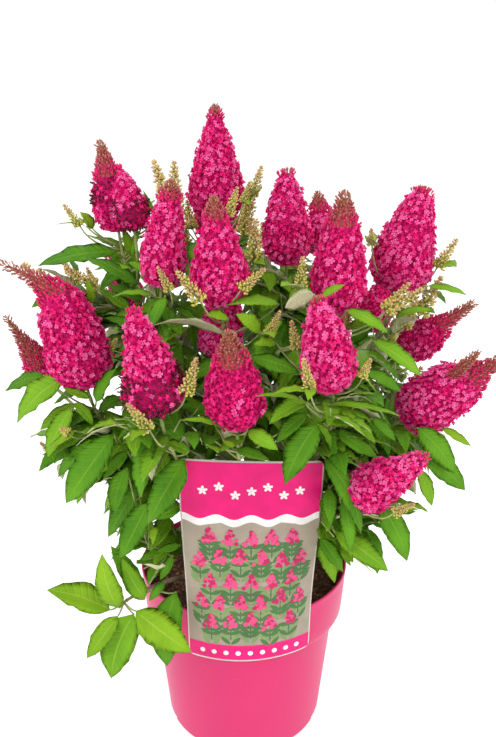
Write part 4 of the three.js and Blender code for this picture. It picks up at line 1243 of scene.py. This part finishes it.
uppers = [
    leaf_finish("leaf_dark", (0.11, 0.3, 0.012), (0.052, 0.18, 0.007), (0.165, 0.35, 0.028), 0.5, 11),
    leaf_finish("leaf_bright", (0.19, 0.405, 0.017), (0.13, 0.31, 0.011), (0.29, 0.5, 0.05), 0.48, 11),
    leaf_finish("leaf_young", (0.225, 0.42, 0.015), (0.15, 0.32, 0.01), (0.33, 0.5, 0.06), 0.5, 9),
]
unders = [
    leaf_finish("leaf_felt", (0.6, 0.58, 0.36), (0.46, 0.48, 0.26), (0.66, 0.63, 0.44), 0.8, 11),
    leaf_finish("leaf_felt_bright", (0.62, 0.61, 0.38), (0.48, 0.51, 0.27), (0.68, 0.66, 0.46), 0.8, 11),
    leaf_finish("leaf_felt_young", (0.58, 0.64, 0.28), (0.44, 0.54, 0.19), (0.63, 0.68, 0.36), 0.8, 9),
]
PIECE_LEAVES = 900  # at most so many leaves make one piece
mass_nodes = [n for n in nodes if n.startswith("leaves_")]
for k, name in enumerate(("leaves_dark", "leaves_bright", "leaves_young")):
    chosen = blade[kind == k]
    for part in range(0, len(chosen), PIECE_LEAVES):
        group = chosen[part:part + PIECE_LEAVES]
        points, faces = joined(group, leaf_faces)
        put(
            f"{name}_{part // PIECE_LEAVES + 1}", points, faces, [uppers[k], unders[k]], "foliage",
            mass_nodes if part == 0 else (),
            uv=np.tile(leaf_uv, (len(group), 1)),
            finish_of=np.tile(leaf_under, len(group)),
        )

# Twigs are tapers of five sides along a curve of three handles. A stalk runs up into each head.
TWIG_ROWS = 7
TWIG_SIDES = 5
for head in heads[: len(by_head)]:
    end = head.stem.handles[3]
    twigs.append((*end, *(end + head.foot) / 2, *(head.foot + head.way * 6), STEM_TIP, STEM_TIP))
for head in side_heads:
    fork = curve(head.stem.handles, SIDE_AT)
    twigs.append((*fork, *(head.foot - head.way * 22), *head.foot, STEM_TIP * 1.3, STEM_TIP))
table = np.array(twigs)[:, None]
start, bend, end = table[..., :3], table[..., 3:6], table[..., 6:9]
share = np.linspace(0, 1, TWIG_ROWS)[:, None]
middle = (1 - share) ** 2 * start + 2 * share * (1 - share) * bend + share**2 * end
p, q = across(unit((1 - share) * (bend - start) + share * (end - bend)))
thick = table[..., 9:10] * (1 - share) + table[..., 10:11] * share
rings = middle[..., None, :] + thick[..., None] * round_ways(p, q, full_turn(TWIG_SIDES))
put("twigs", *joined(with_middles(rings), skin_faces(TWIG_ROWS, TWIG_SIDES)), [green_wood], "foliage")

# ---- Blossom -------------------------------------------------------------------------------------
# A floret is a short tube that opens in four square petals with an orange eye, and hundreds of them
# clothe a head. Towards its tip they are still club-shaped buds, wine red and then russet.

FLORET = 1.9  # radius across its petals
EYE_DEEP = 0.55  # how far its eye, and the end of its tube, lie under its petals
TUBE_LONG = 2.6
BLOOM_GAP = 2.7  # between florets, and between buds
BUD_GAP = 2.1
BORDER = 0.06  # the share over which florets and buds mix
GOLDEN = np.pi * (3 - np.sqrt(5))
CORE_SIDES = 18
CORE_SHARES = np.concatenate([np.linspace(-0.03, 0.1, 6), np.linspace(0.14, 0.97, 22)])


def scattered(head, low, high, gap):
    """Places spread evenly over a head: shares by the running area of its skin, turns by the golden angle."""
    grid = np.linspace(low, high, 400)
    ring = head.outline(grid) + 0.3
    area = np.cumsum(2 * np.pi * ring * np.hypot(np.gradient(grid) * head.long, np.gradient(ring)))
    k = np.arange(int(area[-1] / gap**2))
    share = np.interp((k + 0.5) / max(len(k), 1), area / area[-1], grid)
    turn = k * GOLDEN + 0.3 * hashed(head.seed, k, gap)
    along = unit(head.middle(share + 0.01) - head.middle(share - 0.01))
    p, q = across(along)
    radial = p * np.cos(turn)[:, None] + q * np.sin(turn)[:, None]
    slope = (head.outline(share + 0.004) - head.outline(share - 0.004)) / (0.008 * head.long)
    return k, share, turn, along, radial, unit(radial - along * slope[:, None])


def jitter(seed, k, first):
    """Three numbers from -0.5 to 0.5 for each key."""
    return np.stack([hashed(seed, k, first + n) for n in range(3)], -1) - 0.5


def ragged(head, k, share):
    """Shares moved up or down a little, for a ragged border between florets and buds."""
    return share + 0.1 * (hashed(head.seed, k, 11) - 0.5)


cores, budding, florets, clubs, spent = [], [], [], [], []
for head in heads:
    # A core of stalks and calyces keeps the head from being seen through. Its last ring closes at the tip.
    corner = hashed(head.seed, np.arange(len(CORE_SHARES))[:, None], np.arange(CORE_SIDES))
    inset = 3.1 - 1.0 * smooth((CORE_SHARES - head.open) / 0.1)
    r = np.maximum(head.outline(CORE_SHARES) - inset, 0.6)[:, None] * (1 + 0.14 * (corner - 0.5))
    circle = round_ways(*across(head.way), full_turn(CORE_SIDES))
    cores.append(with_middles(head.middle(CORE_SHARES)[:, None] + r[..., None] * circle))
    budding.append(np.repeat(CORE_SHARES[:-1] > head.open, 2 * CORE_SIDES))
    budding.append(np.arange(2 * CORE_SIDES) >= CORE_SIDES)
    # Open florets stand in small domes, half a centimetre apart, and some lie deeper between the rest.
    k, share, turn, along, radial, out = scattered(head, -HEAD_FOOT, head.open + BORDER, BLOOM_GAP)
    dome = 0.5 + 0.25 * (np.cos(14 * turn) + np.cos(0.7 * head.long * share))
    deep = hashed(head.seed, k, 2) ** 2.2
    proud = 1.8 * (hashed(head.seed, k, 18) > 0.82)
    reach = head.outline(share) - 1.3 + 0.8 * dome - 1.6 * deep + proud
    at = head.middle(share) + radial * np.maximum(reach, 0.4)[:, None] + jitter(head.seed, k, 3) * 1.2
    facing = unit(out + along * 0.15 + jitter(head.seed, k, 6) * 0.9)
    # Their tone is partly random and partly painted shade and highlight: florets that lie deeper, sit in the
    # valleys between domes or belong to a head painted darker get darker colours, and those on the crests
    # lighter ones.
    tone_and_painted_shade = 0.42 * hashed(head.seed, k, 9) + 0.4 * (1 - deep) + 0.18 * dome
    tone_and_painted_shade = tone_and_painted_shade + 0.1 * hashed(head.seed, 1, 9) - head.painted_shade
    row = np.column_stack([at, facing, hashed(head.seed, k, 10), tone_and_painted_shade])
    opened = ragged(head, k, share) < head.open
    low, high = head.faded
    faded = (share > low - 0.1) & (share < high) & (hashed(head.seed, k, 12) < 0.62)
    florets.append(row[opened & ~faded])
    spent.append(row[opened & faded])
    # The buds above them lie close to the spike and point towards its tip.
    k, share, turn, along, radial, out = scattered(head, head.open - BORDER, 1.0, BUD_GAP)
    reach = np.maximum(head.outline(share) - 1.4 - 1.5 * hashed(head.seed, k, 13), 0.3)
    at = head.middle(share) + radial * reach[:, None]
    facing = unit(out * 0.8 + along * 0.75 + jitter(head.seed, k, 14) * 0.6)
    row = np.column_stack([at, facing, hashed(head.seed, k, 17), head.late(share)])
    clubs.append(row[ragged(head, k, share) > head.open])
core_finishes = [
    uneven_finish(name, light, dark, 420, 1300, 0.9, 0.8, 0.0015, Specular_IOR_Level=0.1)
    for name, light, dark in (
        ("calyx_core", (0.68, 0.01, 0.16), (0.4, 0.006, 0.09)),
        ("bud_stalks", (0.46, 0.16, 0.1), (0.3, 0.07, 0.05)),
    )
]
points, faces = joined(np.array(cores), skin_faces(len(CORE_SHARES), CORE_SIDES))
put("head_cores", points, faces, core_finishes, "foliage", finish_of=np.concatenate(budding))

# The outline of a floret: each petal's two corners, and the notch between it and the next. Most florets
# are plainer, with one corner to a petal.
rim_angle = np.arange(12) // 3 * (np.pi / 2) + np.array([-0.785, -0.4, 0.4] * 4)
rim_reach = np.array([0.4, 1.0, 1.0] * 4)
rim = turned(rim_reach, rim_angle, -0.05 * rim_reach)
star_rim = rim[np.arange(12) % 3 != 1] * [1.15, 1.15, 1]
floret_form, star_form = (
    np.vstack([edge * FLORET, (0, 0, -EYE_DEEP), (0, 0, -TUBE_LONG)]) for edge in (rim, star_rim)
)


def funnel_faces(corners):
    """Triangles from a rim to the middle of its upper side, and to the end of the tube under it."""
    here = np.arange(corners)
    following = (here + 1) % corners
    above = np.stack([here, following, np.full(corners, corners)], -1)
    return np.vstack([above, np.stack([following, here, np.full(corners, corners + 1)], -1)])


floret_faces, star_faces = funnel_faces(12), funnel_faces(8)


def faced(form, at, facing, spin, scale):
    """Copies of a form with its z axis along each facing, spun about it and scaled."""
    a, b = across(facing)
    c, s = np.cos(spin)[:, None], np.sin(spin)[:, None]
    x, y = a * c + b * s, b * c - a * s
    sized = form[None] * scale[:, None, None]
    level = at[:, None] + sized[..., :1] * x[:, None] + sized[..., 1:2] * y[:, None]
    return level + sized[..., 2:] * facing[:, None]


def from_rows(form, rows, scale, back=0.0):
    """Copies of a form for rows of place, facing and chance, set so far back and spun by their chance."""
    return faced(form, rows[:, :3] - rows[:, 3:6] * back, rows[:, 3:6], rows[:, 6] * 50, scale)


def plain_finish(name, light, dark, roughness, strength):
    """A petal or bud finish: two colours in fine patches, with a grain of its own and hardly any gloss."""
    return uneven_finish(name, light, dark, 300, 1800, roughness, strength, 0.0002, Specular_IOR_Level=0.12)


def put_kinds(kinds, copies, faces, roughness):
    """Makes a piece of each kind, a row of its name, its two colours and which of the copies it takes."""
    for name, light, dark, chosen in kinds:
        finish = plain_finish(name, light, dark, roughness, 0.2)
        put(name, *joined(copies[chosen], faces), [finish], "foliage")


table = np.vstack(florets)
scale = 0.8 + 0.4 * table[:, 6]
tone_and_painted_shade = table[:, 7]
low, middling, high = np.quantile(tone_and_painted_shade, [0.28, 0.5, 0.74])
# The four colours are partly painted light: the deep one is painted shade on florets that lie deep or between
# domes, the pink one a painted highlight on florets that stand out; which one a floret gets is partly random
# tone.
for name, light, dark, least, most in (
    ("blossom_deep_painted_shade", (0.7, 0.01, 0.17), (0.46, 0.005, 0.1), -1, low),
    ("blossom_crimson", (0.86, 0.015, 0.2), (0.74, 0.012, 0.17), low, middling),
    ("blossom_cerise", (0.8, 0.035, 0.26), (0.76, 0.02, 0.21), middling, high),
    ("blossom_pink_painted_highlight", (0.84, 0.16, 0.42), (0.8, 0.075, 0.31), high, 9),
):
    finish = plain_finish(name, light, dark, 0.6, 0.3)
    chosen = (tone_and_painted_shade >= least) & (tone_and_painted_shade < most)
    form, faces = (floret_form, floret_faces) if name == "blossom_pink_painted_highlight" else (star_form, star_faces)
    blossom = from_rows(form, table[chosen], scale[chosen])
    put(name, *joined(blossom, faces), [finish], "foliage", smooth=False)
lit = tone_and_painted_shade >= high
eye = np.array([(0.55, 0, 0), (-0.27, 0.48, 0), (-0.27, -0.48, 0), (0, 0, 0.4)])
eye_faces = np.array([(0, 1, 3), (1, 2, 3), (2, 0, 3), (0, 2, 1)])
eyes = from_rows(eye, table[lit], scale[lit], 0.5)
finish = plain_finish("orange_eye", (0.6, 0.1, 0.02), (0.3, 0.02, 0.03), 0.6, 0.2)
put("floret_eyes", *joined(eyes, eye_faces), [finish], "foliage", smooth=False)

# A club-shaped bud: thin at its foot and thickest near its end, with two rings of four corners.
turn = full_turn(4)
club_rings = [turned(radius, turn, np.full(4, height)) for radius, height in ((0.4, 1.4), (0.85, 3.7))]
club_form = np.vstack([[0, 0, 0], *club_rings, [0, 0, 4.9]])
k = np.arange(4)
n = (k + 1) % 4
club_faces = np.vstack(
    [
        np.stack([0 * k, 1 + n, 1 + k], -1), np.stack([1 + k, 1 + n, 5 + n], -1),
        np.stack([1 + k, 5 + n, 5 + k], -1), np.stack([5 + k, 5 + n, 9 + 0 * k], -1),
    ]
)
table = np.vstack(clubs)
late = table[:, 7] + 0.35 * (table[:, 6] - 0.5)
buds = from_rows(club_form, table, (0.8 + 0.35 * table[:, 6]) * (1 - 0.25 * table[:, 7]))
kinds = [
    ("buds_wine", (0.78, 0.035, 0.18), (0.55, 0.02, 0.12), late < 0.3),
    ("buds_mauve", (0.56, 0.12, 0.15), (0.4, 0.065, 0.085), (late >= 0.3) & (late < 0.65)),
    ("buds_russet", (0.48, 0.21, 0.14), (0.34, 0.12, 0.075), late >= 0.65),
]
put_kinds(kinds, buds, club_faces, 0.65)
table = np.vstack(spent)
withered = from_rows(club_form, table, 0.8 + 0.3 * table[:, 6], 2.5)
put_kinds([("spent_florets", (0.2, 0.03, 0.05), (0.07, 0.01, 0.02), slice(None))], withered, club_faces, 0.85)

# ---- Young flower spikes -------------------------------------------------------------------------
# The next flush, still in tight bud: slim tiered spikes of ochre and yellow-green beads on the twigs
# that stand round the open heads.

TIERS = 10
BEADS = 12  # in each tier: six outer ones, each with one behind it
table = np.array(spikes)
foot, way, long, seed = table[:, :3], table[:, 3:6], table[:, 6], table[:, 7]
p, q = across(way)
k = np.arange(TIERS * BEADS)
tier, place, behind = k // BEADS, k % BEADS // 2, k % 2
share = (tier + 0.25 * behind + 0.5 * hashed(k, 1)) / TIERS
bead_reach = (4.6 * (1 - share) ** 0.8 + 0.7) * (1 - 0.42 * behind) * (0.8 + 0.4 * hashed(k, 2))
thickness = np.clip(long / 27, 0.7, 1.3)
angle = (place * np.pi / 3 + tier * 0.5 + 0.5 * hashed(k, 4))[None] + seed[:, None]
radial = round_ways(p, q, angle)
at = foot[:, None] + way[:, None] * (long[:, None] * share)[..., None]
at = at + radial * (bead_reach[None] * thickness[:, None])[..., None]
facing = unit(radial * 0.8 + way[:, None] * 0.7).reshape(-1, 3)
bead_size = ((1.5 - 0.6 * share)[None] * (0.8 + 0.4 * hashed(seed[:, None], k)) * thickness[:, None]).ravel()
spin = np.tile(hashed(k, 3) * 6, len(table))
beads = faced(octahedron * [0.8, 0.8, 1.25], at.reshape(-1, 3), facing, spin, bead_size)
chance = hashed(np.repeat(seed, len(k)), np.tile(place + tier, len(table)))
ripe = np.tile(share, len(table)) * 0.5 + 0.5 * chance
kinds = [
    ("spikes_green", (0.66, 0.6, 0.15), (0.52, 0.5, 0.1), ripe < 0.42),
    ("spikes_ochre", (0.72, 0.53, 0.22), (0.54, 0.39, 0.14), (ripe >= 0.42) & (ripe < 0.75)),
    ("spikes_brown", (0.6, 0.38, 0.21), (0.43, 0.25, 0.12), ripe >= 0.75),
]
put_kinds(kinds, beads, octahedron_faces, 0.7)
thick = np.array([1.0, 1.1, 0.8, 0.3])  # radii of a stalk's rings
share = np.linspace(0, 0.96, len(thick))
middle = foot[:, None] + way[:, None] * (long[:, None] * share)[..., None]
rings = middle[:, :, None] + round_ways(p, q, full_turn(TWIG_SIDES))[:, None] * thick[:, None, None]
put("spike_stalks", *joined(with_middles(rings), skin_faces(len(thick), TWIG_SIDES)), [green_wood], "foliage")

# ---- Floor, light and camera ---------------------------------------------------------------------
# A plain pale floor under soft studio light from all round, brightest from the upper left.

FLOOR_REACH = 9  # metres
SENSOR = 36  # millimetres

floor_mesh = bpy.data.meshes.new("floor")
turn = full_turn(64)
floor_corners = [(FLOOR_REACH * np.cos(a), FLOOR_REACH * np.sin(a), 0) for a in turn]
floor_mesh.from_pydata(floor_corners, [], [tuple(range(len(turn)))])
floor = bpy.data.objects.new("floor", floor_mesh)
bpy.context.scene.collection.objects.link(floor)
floor_finish, tree, shader = new_finish(
    "pale_floor", (0.6, 0.6, 0.6), 0.9, Emission_Color=(1, 1, 1, 1), Emission_Strength=0.62
)
floor_mesh.materials.append(floor_finish)

world = bpy.data.worlds.new("studio")
world.use_nodes = True
background = world.node_tree.nodes["Background"]
background.inputs["Color"].default_value = (1, 1, 1, 1)
ray_kind = world.node_tree.nodes.new("ShaderNodeLightPath")
brightness = math_node(world.node_tree, "MULTIPLY_ADD", ray_kind.outputs["Is Camera Ray"], 0.1, 1.0)
feed(world.node_tree, background.inputs["Strength"], brightness)
bpy.context.scene.world = world
for name, place, power, size in (
    ("key", (-1.1, -1.5, 1.9), 22, 1.2),
    ("fill", (1.5, -1.1, 1.1), 9, 1.4),
    ("back", (0.3, 1.7, 1.6), 12, 1.4),
):
    light = bpy.data.lights.new(name, "AREA")
    light.energy, light.size = power, size
    lamp = bpy.data.objects.new(name, light)
    lamp.location = place
    aim = np.array([0, 0, 0.3]) - place
    lamp.rotation_euler = (np.arctan2(np.hypot(aim[0], aim[1]), -aim[2]), 0, np.arctan2(-aim[0], aim[1]))
    bpy.context.scene.collection.objects.link(lamp)

camera_data = bpy.data.cameras.new("camera")
camera_data.sensor_width = SENSOR
camera_data.lens = FOCUS / FRAME_TALL * SENSOR
camera = bpy.data.objects.new("camera", camera_data)
camera.location = tuple(CAMERA_AT / 1000)
camera.rotation_euler = (np.pi / 2 - CAMERA_DIP, 0, 0)
bpy.context.scene.collection.objects.link(camera)
bpy.context.scene.camera = camera
bpy.context.scene.view_settings.view_transform = "Standard"
